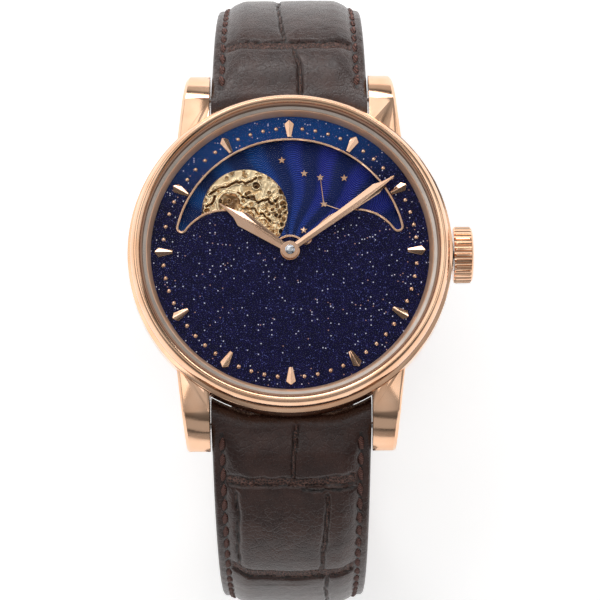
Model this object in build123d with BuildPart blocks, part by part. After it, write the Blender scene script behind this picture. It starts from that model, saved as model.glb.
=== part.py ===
# Moon phase wristwatch on a leather strap, dial up, unbuckled, with the strap's two halves curled under it.
# +Z is out of the dial, +Y is towards twelve o'clock and +X towards the crown.
# The origin is on the axis of the hands, at the outer face of the back crystal. Millimetres.
import os
from math import asin, atan2, cos, degrees, hypot, radians, sin, sqrt

from build123d import *

os.makedirs("parts", exist_ok=True)
pieces = {}

# Clearances
running = 0.04  # radial room of a pivot in its hole
slip = 0.05  # room between pieces that are slipped into each other
wheel_gap = 0.1  # height between things that pass over each other
overrun = 1.0  # how far a cutter runs past what it cuts

# Case, seen from above
case_radius = 21.1
case_bore_radius = 17.6
case_foot_radius = 19.4
lug_gap = 21.0
lug_reach = 25.2
lug_width = 4.3
lug_tip_width = 3.0
lug_bevel = 0.4
lug_end_height = 1.6
lug_swell_share = 0.62

# Heights, from the back crystal up to the dial
back_crystal_thickness = 1.0
back_room = 0.2
winding_wheel_thickness = 0.35
bridge_thickness = 0.7
bevel_width = 0.12
wheel_thickness = 0.25
level_step = 0.65
plate_gap = 0.35
plate_thickness = 0.85
motion_step = 0.3
motion_room = 0.15
moon_disc_thickness = 0.25
moon_relief = 0.2
dial_room = 0.1
dial_thickness = 0.45

case_foot_z = back_crystal_thickness
winding_wheel_z = back_crystal_thickness + back_room
winding_wheel_middle_z = winding_wheel_z + winding_wheel_thickness / 2
winding_wheel_top_z = winding_wheel_z + winding_wheel_thickness
bridge_z = winding_wheel_top_z + wheel_gap
train_z = bridge_z + bridge_thickness
third_z = train_z + wheel_gap
fourth_z = third_z + level_step
centre_z = fourth_z + level_step
plate_z = centre_z + wheel_thickness + plate_gap
plate_top_z = plate_z + plate_thickness
minute_wheel_z = plate_top_z + wheel_gap
hour_wheel_z = minute_wheel_z + motion_step
moon_disc_z = hour_wheel_z + wheel_thickness + motion_room
moon_top_z = moon_disc_z + moon_disc_thickness
dial_z = moon_top_z + moon_relief + dial_room
dial_top_z = dial_z + dial_thickness

# Dial and what is on it
dial_radius = 18.0
dial_edge_room = 0.1
dial_hole_radius = 1.1
marker_tip_radius = 17.45
marker_length = 2.28
marker_width = 1.25
marker_end_width = 0.5
marker_point = 0.45
marker_height = 0.4
marker_side = 0.12
markers = 12
dot_circle_radius = 16.4
dot_radius = 0.26
dots_between_markers = 4
aperture_radius = 14.8
hump_radius = 6.3
hump_circle_radius = 8.45
hump_drop = 0.65
aperture_hub_radius = 2.2
aperture_corner = 0.45
rim_width = 0.28
rim_rise = 0.15

# Moon disc
moon_disc_radius = 15.5
moon_radius = 5.6
moon_circle_radius = 8.05
moon_angle = 136.5
moon_edge = 0.12
star_radius = 0.5
star_waist_share = 0.42
star_points = 5
star_turn = 360 / star_points
star_rise = 0.12
link_width = 0.1
sky_stars = [(1.9, 10.5), (4.0, 9.95), (7.1, 9.85), (4.4, 6.4), (1.8, 2.95), (-1.0, 12.3), (8.3, 5.0)]
sky_links = [(1, 3), (3, 6)]

# Hands
hour_hand_lift = 0.4
hand_thickness = 0.3
hand_gap = 0.25
hand_side = 0.1
hour_hub_radius = 1.25
minute_hub_radius = 1.12
hour_hand_angle = 145.5
minute_hand_angle = 35.5
hour_hand_outline = [(0.9, 0.47), (7.45, 1.05), (8.5, 0.5), (9.95, 0.2), (10.95, 0.07)]
minute_hand_outline = [(0.8, 0.4), (8.5, 0.55), (13.8, 0.74), (14.8, 0.33), (16.1, 0.13), (16.6, 0.07)]
pin_radius = 0.35
pin_rise = 0.3
cannon_radius = 0.62
hour_tube_radius = 0.95

# Bezel, inner flange and front crystal
bezel_bore_radius = 19.2
bezel_step = 0.5
bezel_wall = 0.45
bezel_height = 2.85
bezel_crest_share = 0.22
flange_inner_radius = 17.85
flange_slope = 0.5
crystal_radius = 19.0
crystal_edge = 0.95
crystal_bevel = 0.45
crystal_bevel_rise = 0.3
crystal_dome = 0.85

# Case back
back_crystal_radius = 14.6
back_ring_foot_radius = 15.4
back_ring_slope_z = 0.75
back_spigot = 0.8
back_gasket_width = 0.4
back_gasket_depth = 0.25
back_screws = 6
back_screw_circle_radius = 18.6
back_screw_head_radius = 0.55
back_screw_radius = 0.35
back_screw_sink = 0.35
back_screw_length = 2.2
screw_slot_width = 0.14
screw_slot_depth = 0.12

# Crown and stem
crown_z = 3.9
crown_radius = 3.7
crown_gap = 0.1
crown_length = 2.75
crown_dome = 0.75
crown_foot = 0.45
crown_flutes = 30
crown_flute_radius = 0.26
crown_recess_radius = 1.8
crown_recess_depth = 1.5
tube_radius = 1.25
tube_bore_radius = 0.8
tube_length = 3.3
crown_seal_width = 0.35
stem_radius = 0.5
stem_end_x = 9.6
winding_pinion_radius = 0.95
winding_pinion_length = 1.3
winding_pinion_x = 11.2
winding_pinion_teeth = 12
crown_travel = 1.2

# Movement, seen from above: each arbor is given by its distance and direction from the one before it
plate_radius = 16.4
bridge_radius = 15.9
rim_radius = 14.75
barrel_angle = 60.0
third_angle = 200.0
fourth_angle = 230.0
escape_angle = 320.0
pallet_distance = 2.95
pallet_angle = 340.0
balance_distance = 3.95
balance_angle = 355.0
motion_angle = 270.0
crown_wheel_angle = 320.0

barrel_teeth = 72
centre_leaves = 10
centre_teeth = 45
pinion_leaves = 6
third_teeth = 48
fourth_teeth = 60
escape_teeth = 15
cannon_leaves = 12
minute_wheel_teeth = 36
minute_pinion_leaves = 10
hour_wheel_teeth = 40
ratchet_teeth = 44
crown_wheel_teeth = 32
barrel_module = 0.17
centre_module = 0.187
third_module = 0.16
fourth_module = 0.13
motion_module = 0.12
winding_module = 0.2
tooth_share = 0.46
tip_share = 0.54
root_depth_share = 1.3
rim_share = 0.78
spokes = 4
spoke_width = 0.5
centre_arbor_radius = 0.3
arbor_radius = 0.18
pivot_radius = 0.1
pivot_depth = 0.25
hub_radius = 0.65
pinion_height = 0.45

barrel_drum_share = 0.93
barrel_height = 1.1
barrel_wall = 0.4
barrel_floor = 0.15
barrel_arbor_radius = 0.9
mainspring_width = 0.12
mainspring_turns = 4
mainspring_pitch = 0.6

escape_radius = 2.3
escape_tooth_depth_share = 0.35
escape_hook_share = 0.35
fork_thickness = 0.25
fork_arm_width = 0.4
fork_span = 1.3
fork_spread = 70.0
fork_reach = 2.95
fork_mouth = 0.5
stone_width = 0.28
stone_gap = 0.15

balance_radius = 4.55
balance_rim = 0.55
balance_height = 0.35
balance_lift = 0.5
balance_arms = 3
roller_radius = 0.75
roller_thickness = 0.2
impulse_pin_radius = 0.1
hairspring_width = 0.08
hairspring_height = 0.14
hairspring_turns = 4
hairspring_pitch = 0.56
hairspring_start_radius = 0.75
hairspring_gap = 0.12
stud_radius = 0.22
cock_width = 2.7
cock_wall_angle = 9.0
cock_tail_angle = 60.0
barrel_wall_angles = (10.0, 168.0)
train_wall_angles = (173.0, 254.0)
bridge_line_y = 2.4
bridge_line_end_y = -3.0
bridge_bend = (-1.6, bridge_line_y)
bridge_knee = (2.0, -2.0)
cock_eye_radius = 1.9
jewel_radius = 0.62
jewel_rise = 0.12
screw_head_radius = 0.6
screw_head_height = 0.28
screw_radius = 0.3
bridge_screw_circle_radius = 15.3
bridge_screw_angles = [28, 80, 150, 188, 244, 312]
click_length = 1.9
click_width = 0.7
click_angle = 128.0
click_gap = 0.25
click_lean = 70.0

# Strap, its two halves and the hardware on it
# Each route runs out from its spring bar and curls under the case
bar_y = 21.9
bar_z = 1.4
bar_radius = 0.75
bar_pin_radius = 0.43
bar_pin_depth = 0.95
strap_room = 0.15
strap_root_radius = 1.75
strap_root_clearance = 0.35
strap_end_width = 18.0
strap_taper_length = 66.0
strap_pad_thickness = 4.0
strap_thickness = 2.7
strap_swell_length = 6.0
strap_pad_length = 46.0
strap_edge_share = 0.7
strap_start_angle = 15.0
bend_step = 9.0
upper_bend_radius = 24.3
upper_heel_radius = 14.9
upper_flat = 17.0
lower_bend_radius = 26.3
lower_heel_radius = 16.75
lower_flat = 4.0
lower_rise_radius = 14.0
lower_rise_angle = 45.0
lower_tail = 34.0
strap_tip_share = 0.54
hole_radius = 0.9
hole_pitch = 5.5
holes = 5
first_hole = 11.0

keeper_length = 4.4
keeper_wall = 0.9
keeper_side_room = 0.2
keeper_slack = 2.9
fixed_keeper_y = 13.0
sliding_keeper_y = 21.0
buckle_bar_radius = 0.6
buckle_side = 1.9
buckle_corner_radius = 1.52
buckle_side_room = 0.3
buckle_front_radius = 0.95
buckle_front_lift = 0.6
buckle_reach = 12.0
buckle_corner = 3.0
tang_width = 1.6
tang_thickness = 0.85
tang_room = 0.3
tang_hub_radius = 1.0
tang_overhang = 0.7


def polar(radius, angle, centre=(0, 0)):
    """A point at a distance and direction from a centre."""
    return (centre[0] + radius * cos(radians(angle)), centre[1] + radius * sin(radians(angle)))


def dome_middle(radius, height):
    """Half way along a shallow dome's profile: its distance from the axis and its drop from the top."""
    sphere = (radius**2 + height**2) / (2 * height)
    turn = asin(radius / sphere) / 2
    return sphere * sin(turn), sphere * (1 - cos(turn))


def keep(name, builder):
    """Names a finished piece and notes it for writing."""
    builder.part.label = name
    pieces[name] = builder


def gear_face(teeth, module, phase=0.0, centre=(0, 0)):
    """The flat outline of a gear with tapered teeth. phase is the direction of one tooth, in degrees."""
    pitch_radius = teeth * module / 2
    tip = pitch_radius + module
    root = pitch_radius - module * root_depth_share
    step = 360 / teeth
    flank = step * tooth_share / 2
    corners = []
    for tooth in range(teeth):
        middle = phase + tooth * step
        corners += [
            polar(root, middle - flank * (1 + tip_share), centre),
            polar(tip, middle - flank * tip_share, centre),
            polar(tip, middle + flank * tip_share, centre),
            polar(root, middle + flank * (1 + tip_share), centre),
        ]
    with BuildSketch() as face:
        with BuildLine():
            Polyline(*corners, close=True)
        make_face()
    return face.sketch


def mesh_phase(direction, teeth, phase, other_teeth):
    """The phase of a gear that meshes with another one lying in that direction from it."""
    share = ((direction - phase) * teeth / 360) % 1
    return direction + 180 - (1 / 2 - share) * 360 / other_teeth


def wheel(teeth, module, z, centre, phase):
    """A spoked wheel."""
    inner = teeth * module / 2 * rim_share
    with BuildPart(mode=Mode.PRIVATE) as piece:
        with BuildSketch(Plane.XY.offset(z)):
            add(gear_face(teeth, module, phase, centre))
            with Locations(centre):
                Circle(inner, mode=Mode.SUBTRACT)
                Circle(hub_radius)
                with PolarLocations(0, spokes // 2, start_angle=phase, angular_range=180):
                    Rectangle(2 * inner + module, spoke_width)
        extrude(amount=wheel_thickness)
    return piece.part


def leaves(teeth, module, z, height, centre, phase):
    """A pinion, or any toothed wheel without spokes."""
    with BuildPart(mode=Mode.PRIVATE) as piece:
        with BuildSketch(Plane.XY.offset(z)):
            add(gear_face(teeth, module, phase, centre))
        extrude(amount=height)
    return piece.part


def post(centre, radius, low, high):
    """An upright round piece between two heights."""
    with BuildPart(mode=Mode.PRIVATE) as piece:
        with Locations((*centre, low)):
            Cylinder(radius, high - low, align=(Align.CENTER, Align.CENTER, Align.MIN))
    return piece.part


def spiral(turns, pitch, start, width, centre):
    """A flat spiral strip made of half turns."""
    with BuildSketch() as strip:
        with BuildLine():
            for half in range(2 * turns):
                radius = start + half * pitch / 2
                shift = half % 2 * pitch / 2
                CenterArc((centre[0] + shift, centre[1]), radius, half % 2 * 180, 180)
        trace(line_width=width)
    return strip.sketch


# Plan of the movement
barrel_at = polar((barrel_teeth + centre_leaves) * barrel_module / 2, barrel_angle)
third_at = polar((centre_teeth + pinion_leaves) * centre_module / 2, third_angle)
fourth_at = polar((third_teeth + pinion_leaves) * third_module / 2, fourth_angle, third_at)
escape_at = polar((fourth_teeth + pinion_leaves) * fourth_module / 2, escape_angle, fourth_at)
pallet_at = polar(pallet_distance, pallet_angle, escape_at)
balance_at = polar(balance_distance, balance_angle, pallet_at)
motion_at = polar((cannon_leaves + minute_wheel_teeth) * motion_module / 2, motion_angle)
motion_distance = (cannon_leaves + minute_wheel_teeth) * motion_module
hour_module = motion_distance / (minute_pinion_leaves + hour_wheel_teeth)
winding_distance = (ratchet_teeth + crown_wheel_teeth) * winding_module / 2
crown_wheel_at = polar(winding_distance, crown_wheel_angle, barrel_at)

third_phase = mesh_phase(third_angle, centre_teeth, 0, pinion_leaves)
fourth_phase = mesh_phase(fourth_angle, third_teeth, third_phase, pinion_leaves)
escape_phase = mesh_phase(escape_angle, fourth_teeth, fourth_phase, pinion_leaves)
barrel_phase = mesh_phase(barrel_angle, centre_leaves, 0, barrel_teeth)
motion_phase = mesh_phase(motion_angle, cannon_leaves, 0, minute_wheel_teeth)
hour_phase = mesh_phase(motion_angle + 180, minute_pinion_leaves, motion_phase, hour_wheel_teeth)
crown_wheel_phase = mesh_phase(crown_wheel_angle, ratchet_teeth, 0, crown_wheel_teeth)
ratchet_reach = (ratchet_teeth / 2 + 1) * winding_module
click_tip_at = polar(ratchet_reach + click_gap, click_angle, barrel_at)
click_at = polar(click_length, click_angle - click_lean, click_tip_at)

# Case middle: a turned drum with a full flank, and four lugs with a bevelled outer edge
case_top_z = dial_top_z
back_head_z = back_screw_sink + back_ring_slope_z / 2
back_screw_reach = back_head_z + back_screw_length
flank_z = (case_foot_z + case_top_z) / 2
lug_root_y = sqrt(case_bore_radius**2 - (lug_gap / 2) ** 2)
lug_top_z = case_top_z - bezel_step - marker_height
lug_crest_y = case_radius - bezel_step
lug_tip_z = -lug_bevel
with BuildPart() as lug:
    with BuildSketch(Plane.YZ.offset(lug_gap / 2)):
        with BuildLine():
            Line((lug_root_y, case_foot_z), (lug_root_y, lug_top_z))
            Line((lug_root_y, lug_top_z), (lug_crest_y, lug_top_z))
            ThreePointArc(
                (lug_crest_y, lug_top_z),
                (lug_reach - bezel_step * 2, (lug_top_z + lug_tip_z) * lug_swell_share),
                (lug_reach, lug_tip_z + lug_end_height),
            )
            TangentArc(
                (lug_reach, lug_tip_z + lug_end_height),
                (lug_reach - bezel_step * 2, lug_tip_z - bezel_step),
                tangent=(0, -1),
            )
            ThreePointArc(
                (lug_reach - bezel_step * 2, lug_tip_z - bezel_step),
                ((lug_reach + lug_crest_y) / 2 - lug_bevel, lug_tip_z + lug_bevel / 2),
                (lug_crest_y - bezel_step * 2, case_foot_z),
            )
            Line((lug_crest_y - bezel_step * 2, case_foot_z), (lug_root_y, case_foot_z))
        make_face()
    extrude(amount=lug_width)
    taper = degrees(atan2(lug_width - lug_tip_width, lug_reach - lug_root_y))
    side = Plane(
        origin=(lug_gap / 2 + lug_tip_width, lug_reach, 0),
        x_dir=(-sin(radians(taper)), cos(radians(taper)), 0),
        z_dir=(cos(radians(taper)), sin(radians(taper)), 0),
    )
    split(bisect_by=side, keep=Keep.BOTTOM)
    outer = lug.faces().sort_by(Axis.X)[-1]
    chamfer(outer.edges().sort_by(Axis.Z)[-2:], lug_bevel)
    mirror(about=Plane.YZ)
    mirror(about=Plane.XZ)

with BuildPart() as case_middle:
    with BuildSketch(Plane.XZ):
        with BuildLine():
            Line((case_bore_radius, case_foot_z), (case_foot_radius, case_foot_z))
            TangentArc((case_radius, flank_z), (case_foot_radius, case_foot_z), tangent=(0, -1))
            Line((case_radius, flank_z), (case_radius - 2 * slip, case_top_z))
            Line((case_radius - 2 * slip, case_top_z), (dial_radius + dial_edge_room, case_top_z))
            Line((dial_radius + dial_edge_room, case_top_z), (dial_radius + dial_edge_room, dial_z))
            Line((dial_radius + dial_edge_room, dial_z), (case_bore_radius, dial_z))
            Line((case_bore_radius, dial_z), (case_bore_radius, case_foot_z))
        make_face()
    revolve(axis=Axis.Z)
    add(lug.part)
    Cylinder(
        case_bore_radius,
        case_top_z,
        align=(Align.CENTER, Align.CENTER, Align.MIN),
        mode=Mode.SUBTRACT,
    )
    with Locations((0, 0, case_top_z)):
        Cylinder(
            case_radius + lug_width,
            overrun * lug_width,
            align=(Align.CENTER, Align.CENTER, Align.MIN),
            mode=Mode.SUBTRACT,
        )
    for side_y in (bar_y, -bar_y):
        with Locations(Location((0, side_y, bar_z), (0, 90, 0))):
            Cylinder(bar_pin_radius, lug_gap + 2 * bar_pin_depth, mode=Mode.SUBTRACT)
            Cylinder(strap_root_radius + strap_root_clearance, lug_gap, mode=Mode.SUBTRACT)
    with Locations(Location((0, 0, crown_z), (0, 90, 0))):
        Cylinder(
            tube_radius,
            case_radius + crown_gap,
            align=(Align.CENTER, Align.CENTER, Align.MIN),
            mode=Mode.SUBTRACT,
        )
    with PolarLocations(back_screw_circle_radius, back_screws, start_angle=360 / back_screws / 2):
        with Locations((0, 0, case_foot_z)):
            Cylinder(
                back_screw_radius,
                back_screw_reach - case_foot_z,
                align=(Align.CENTER, Align.CENTER, Align.MIN),
                mode=Mode.SUBTRACT,
            )
keep("case_middle", case_middle)

# Bezel: a polished half-round ring with a step and a groove round the crystal
bezel_top_z = case_top_z + bezel_height
bezel_foot_radius = case_radius - bezel_step
bezel_crest_run = (bezel_foot_radius - bezel_bore_radius) * bezel_crest_share
bezel_crest_radius = bezel_bore_radius + bezel_wall + bezel_crest_run
bezel_corner = bezel_wall * bezel_crest_share
with BuildPart() as bezel:
    with BuildSketch(Plane.XZ):
        with BuildLine():
            Line((bezel_bore_radius, case_top_z), (bezel_foot_radius, case_top_z))
            Line((bezel_foot_radius, case_top_z), (bezel_foot_radius, case_top_z + bezel_wall))
            ThreePointArc(
                (bezel_foot_radius, case_top_z + bezel_wall),
                (bezel_foot_radius - bezel_corner, (case_top_z + bezel_top_z) / 2 + bezel_wall),
                (bezel_crest_radius, bezel_top_z),
            )
            ThreePointArc(
                (bezel_crest_radius, bezel_top_z),
                (bezel_bore_radius + bezel_corner, bezel_top_z - bezel_corner),
                (bezel_bore_radius, bezel_top_z - bezel_wall),
            )
            Line((bezel_bore_radius, bezel_top_z - bezel_wall), (bezel_bore_radius, case_top_z))
        make_face()
    revolve(axis=Axis.Z)
keep("bezel", bezel)

# Inner flange: a sloping ring from the dial up to the crystal
crystal_z = bezel_top_z - crystal_edge - bezel_wall
flange_outer_radius = bezel_bore_radius - slip
with BuildPart() as flange_ring:
    with BuildSketch(Plane.XZ):
        with BuildLine():
            Polyline(
                (flange_inner_radius, dial_top_z),
                (flange_outer_radius, dial_top_z),
                (flange_outer_radius, crystal_z),
                (flange_inner_radius + flange_slope, crystal_z),
                close=True,
            )
        make_face()
    revolve(axis=Axis.Z)
keep("flange_ring", flange_ring)

# Front crystal: a low dome with a broad polished bevel, held by a thin ring seal
crystal_top_z = crystal_z + crystal_edge + crystal_bevel_rise + crystal_dome
crystal_reach, crystal_drop = dome_middle(crystal_radius - crystal_bevel, crystal_dome)
with BuildPart() as crystal:
    with BuildSketch(Plane.XZ):
        with BuildLine():
            Line((0, crystal_z), (crystal_radius, crystal_z))
            Line((crystal_radius, crystal_z), (crystal_radius, crystal_z + crystal_edge))
            Line(
                (crystal_radius, crystal_z + crystal_edge),
                (crystal_radius - crystal_bevel, crystal_z + crystal_edge + crystal_bevel_rise),
            )
            ThreePointArc(
                (crystal_radius - crystal_bevel, crystal_z + crystal_edge + crystal_bevel_rise),
                (crystal_reach, crystal_top_z - crystal_drop),
                (0, crystal_top_z),
            )
            Line((0, crystal_top_z), (0, crystal_z))
        make_face()
    revolve(axis=Axis.Z)
keep("crystal", crystal)

with BuildPart() as crystal_gasket:
    with BuildSketch(Plane.XY.offset(crystal_z)):
        Circle(bezel_bore_radius)
        Circle(crystal_radius, mode=Mode.SUBTRACT)
    extrude(amount=crystal_edge)
keep("crystal_gasket", crystal_gasket)

# Case back: a ring with a spigot, a seal in a groove, a crystal and six slotted screws
back_spigot_radius = case_bore_radius - slip
gasket_inner_radius = case_bore_radius + slip
gasket_outer_radius = gasket_inner_radius + back_gasket_width
with BuildPart() as case_back_ring:
    with BuildSketch(Plane.XZ):
        with BuildLine():
            Polyline(
                (back_crystal_radius + slip, 0),
                (back_ring_foot_radius, 0),
                (case_foot_radius, back_ring_slope_z),
                (case_foot_radius, case_foot_z),
                (back_spigot_radius, case_foot_z),
                (back_spigot_radius, case_foot_z + back_spigot),
                (plate_radius + slip, case_foot_z + back_spigot),
                (plate_radius + slip, case_foot_z),
                (back_crystal_radius + slip, case_foot_z),
                close=True,
            )
        make_face()
    revolve(axis=Axis.Z)
    with BuildSketch(Plane.XY.offset(case_foot_z)):
        Circle(gasket_outer_radius)
        Circle(gasket_inner_radius, mode=Mode.SUBTRACT)
    extrude(amount=-back_gasket_depth, mode=Mode.SUBTRACT)
    with PolarLocations(back_screw_circle_radius, back_screws, start_angle=360 / back_screws / 2):
        Cylinder(
            back_screw_radius + slip,
            back_screw_length,
            align=(Align.CENTER, Align.CENTER, Align.MIN),
            mode=Mode.SUBTRACT,
        )
        Cylinder(
            back_screw_head_radius + slip,
            back_head_z,
            align=(Align.CENTER, Align.CENTER, Align.MIN),
            mode=Mode.SUBTRACT,
        )
keep("case_back_ring", case_back_ring)

with BuildPart() as case_back_gasket:
    with BuildSketch(Plane.XY.offset(case_foot_z)):
        Circle(gasket_outer_radius - slip)
        Circle(gasket_inner_radius + slip, mode=Mode.SUBTRACT)
    extrude(amount=-back_gasket_depth)
keep("case_back_gasket", case_back_gasket)

with BuildPart() as back_crystal:
    Cylinder(
        back_crystal_radius,
        back_crystal_thickness,
        align=(Align.CENTER, Align.CENTER, Align.MIN),
    )
keep("back_crystal", back_crystal)

with BuildPart() as case_back_screws:
    with PolarLocations(back_screw_circle_radius, back_screws, start_angle=360 / back_screws / 2):
        with Locations((0, 0, back_head_z)):
            Cylinder(
                back_screw_head_radius,
                back_screw_sink,
                align=(Align.CENTER, Align.CENTER, Align.MAX),
            )
            Cylinder(
                back_screw_radius,
                back_screw_length,
                align=(Align.CENTER, Align.CENTER, Align.MIN),
            )
        with Locations((0, 0, back_head_z - back_screw_sink)):
            Box(
                2 * back_screw_head_radius,
                screw_slot_width,
                screw_slot_depth,
                align=(Align.CENTER, Align.CENTER, Align.MIN),
                mode=Mode.SUBTRACT,
            )
keep("case_back_screws", case_back_screws)

def aperture_face(growth=0.0):
    """The moon aperture: a wide arch over two humps and a small arch round the hands."""
    with BuildSketch() as face:
        Circle(aperture_radius)
        with Locations((0, -aperture_radius)):
            Rectangle(3 * aperture_radius, 2 * aperture_radius, mode=Mode.SUBTRACT)
        with Locations((hump_circle_radius, -hump_drop), (-hump_circle_radius, -hump_drop)):
            Circle(hump_radius, mode=Mode.SUBTRACT)
        Circle(aperture_hub_radius, mode=Mode.SUBTRACT)
        offset(amount=-aperture_corner, mode=Mode.REPLACE)
        offset(amount=aperture_corner + growth, mode=Mode.REPLACE)
    return face.sketch


def gabled(outline, base_z, height, side):
    """A ridged bar along +X: half widths along its length, a ridge on top and low sides."""
    near = [(reach, half) for reach, half in outline]
    far = [(reach, -half) for reach, half in reversed(outline)]
    slope = atan2(height - side, max(half for reach, half in outline))
    with BuildPart(mode=Mode.PRIVATE) as piece:
        with BuildSketch(Plane.XY.offset(base_z)):
            with BuildLine():
                Polyline(*near, *far, close=True)
            make_face()
        extrude(amount=height)
        for turn in (1, -1):
            lean = (0, turn * sin(slope), cos(slope))
            roof = Plane(origin=(0, 0, base_z + height), x_dir=(1, 0, 0), z_dir=lean)
            split(bisect_by=roof, keep=Keep.BOTTOM)
    return piece.part


# Dial with the aperture and the hole for the hands
aperture_lip = rim_width / 2
with BuildPart() as dial:
    with BuildSketch(Plane.XY.offset(dial_z)):
        Circle(dial_radius)
        Circle(dial_hole_radius, mode=Mode.SUBTRACT)
        add(aperture_face(aperture_lip), mode=Mode.SUBTRACT)
    extrude(amount=dial_thickness)
keep("dial", dial)

# Rim of the aperture: a thin wall in the dial with a lip that stands on it
with BuildPart() as aperture_rim:
    with BuildSketch(Plane.XY.offset(dial_z)):
        add(aperture_face(aperture_lip))
        add(aperture_face(), mode=Mode.SUBTRACT)
    extrude(amount=dial_thickness + rim_rise)
    with BuildSketch(Plane.XY.offset(dial_top_z)):
        add(aperture_face(rim_width))
        add(aperture_face(), mode=Mode.SUBTRACT)
    extrude(amount=rim_rise)
keep("aperture_rim", aperture_rim)

# Applied hour markers: tapered, ridged and pointed outwards
marker_outline = [
    (marker_tip_radius - marker_length, marker_end_width / 2),
    (marker_tip_radius - marker_point, marker_width / 2),
    (marker_tip_radius, marker_side / 2),
]
marker = gabled(marker_outline, dial_top_z, marker_height, marker_side)
with BuildPart() as hour_markers:
    with PolarLocations(0, markers):
        add(marker)
keep("hour_markers", hour_markers)

# Minute dots: small domes between the markers
dot_step = 360 / markers / (dots_between_markers + 1)
dots_per_marker = dots_between_markers + 1
dot_turns = [dot_step * dot for dot in range(markers * dots_per_marker) if dot % dots_per_marker]
with BuildPart() as minute_dots:
    with Locations(*[(*polar(dot_circle_radius, turn), dial_top_z) for turn in dot_turns]):
        Cone(
            dot_radius,
            dot_radius / 2,
            dot_radius / 2,
            align=(Align.CENTER, Align.CENTER, Align.MIN),
        )
keep("minute_dots", minute_dots)

# Moon disc with two moons on opposite sides, and the stars between them
with BuildPart() as moon_disc:
    with BuildSketch(Plane.XY.offset(moon_disc_z)):
        Circle(moon_disc_radius)
        Circle(hour_tube_radius + running, mode=Mode.SUBTRACT)
    extrude(amount=moon_disc_thickness)
keep("moon_disc", moon_disc)

with BuildPart() as moons:
    with PolarLocations(moon_circle_radius, 2, start_angle=moon_angle):
        with Locations((0, 0, moon_top_z)):
            Cone(
                moon_radius,
                moon_radius - moon_edge,
                moon_edge,
                align=(Align.CENTER, Align.CENTER, Align.MIN),
            )
            with Locations((0, 0, moon_edge)):
                Cone(
                    moon_radius - moon_edge,
                    moon_radius / 2,
                    moon_relief - moon_edge,
                    align=(Align.CENTER, Align.CENTER, Align.MIN),
                )
keep("moons", moons)

with BuildPart() as moon_stars:
    for half_turn in (0, 180):
        with BuildSketch(Plane.XY.rotated((0, 0, half_turn)).offset(moon_top_z)):
            for first, second in sky_links:
                start = Vector(*sky_stars[first])
                end = Vector(*sky_stars[second])
                middle = (start + end) / 2
                with Locations((middle.X, middle.Y)):
                    heading = degrees(atan2((end - start).Y, (end - start).X))
                    Rectangle((end - start).length, link_width, rotation=heading)
            for place, star in enumerate(sky_stars):
                tips = [polar(star_radius, 90 + star_turn * tip, star) for tip in range(star_points)]
                waist_angles = [90 + star_turn * (tip + 1 / 2) for tip in range(star_points)]
                waists = [polar(star_radius * star_waist_share, turn, star) for turn in waist_angles]
                with BuildLine():
                    Polyline(*[corner for pair in zip(tips, waists) for corner in pair], close=True)
                make_face()
        extrude(amount=star_rise)
keep("moon_stars", moon_stars)

# Hands: ridged bars on round hubs, the minute hand over the hour hand
hour_hand_z = dial_top_z + hour_hand_lift
hour_hand_top_z = hour_hand_z + hand_thickness
minute_hand_z = hour_hand_top_z + hand_gap
minute_hand_top_z = minute_hand_z + hand_thickness
with BuildPart() as hour_hand:
    with Locations(Rotation(0, 0, hour_hand_angle)):
        add(gabled(hour_hand_outline, hour_hand_z, hand_thickness, hand_side))
    add(post((0, 0), hour_hub_radius, hour_hand_z, hour_hand_top_z))
    add(post((0, 0), hour_tube_radius, hour_hand_z, hour_hand_top_z), mode=Mode.SUBTRACT)
keep("hour_hand", hour_hand)

with BuildPart() as minute_hand:
    with Locations(Rotation(0, 0, minute_hand_angle)):
        add(gabled(minute_hand_outline, minute_hand_z, hand_thickness, hand_side))
    add(post((0, 0), minute_hub_radius, minute_hand_z, minute_hand_top_z))
    add(post((0, 0), cannon_radius, minute_hand_z, minute_hand_top_z), mode=Mode.SUBTRACT)
keep("minute_hand", minute_hand)

# Motion work under the dial: cannon pinion, minute wheel and hour wheel
cannon_top_z = minute_hand_top_z + slip
with BuildPart() as cannon_pinion:
    add(post((0, 0), cannon_radius, minute_wheel_z, cannon_top_z))
    add(leaves(cannon_leaves, motion_module, minute_wheel_z, wheel_thickness, (0, 0), 0))
    with Locations((0, 0, cannon_top_z)):
        Cone(cannon_radius, pin_radius, pin_rise / 2, align=(Align.CENTER, Align.CENTER, Align.MIN))
    add(post((0, 0), centre_arbor_radius + running, minute_wheel_z, minute_hand_z), mode=Mode.SUBTRACT)
keep("cannon_pinion", cannon_pinion)

minute_wheel_top_z = minute_wheel_z + motion_step + wheel_thickness
with BuildPart() as minute_wheel:
    add(leaves(minute_wheel_teeth, motion_module, minute_wheel_z, wheel_thickness, motion_at, motion_phase))
    add(
        leaves(
            minute_pinion_leaves,
            hour_module,
            minute_wheel_z,
            minute_wheel_top_z - minute_wheel_z,
            motion_at,
            motion_phase,
        )
    )
    add(post(motion_at, arbor_radius + running, minute_wheel_z, minute_wheel_top_z), mode=Mode.SUBTRACT)
keep("minute_wheel", minute_wheel)

with BuildPart() as hour_wheel:
    add(leaves(hour_wheel_teeth, hour_module, hour_wheel_z, wheel_thickness, (0, 0), hour_phase))
    add(post((0, 0), hour_tube_radius, hour_wheel_z, hour_hand_top_z))
    add(post((0, 0), cannon_radius + running, hour_wheel_z, hour_hand_top_z), mode=Mode.SUBTRACT)
keep("hour_wheel", hour_wheel)

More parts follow.
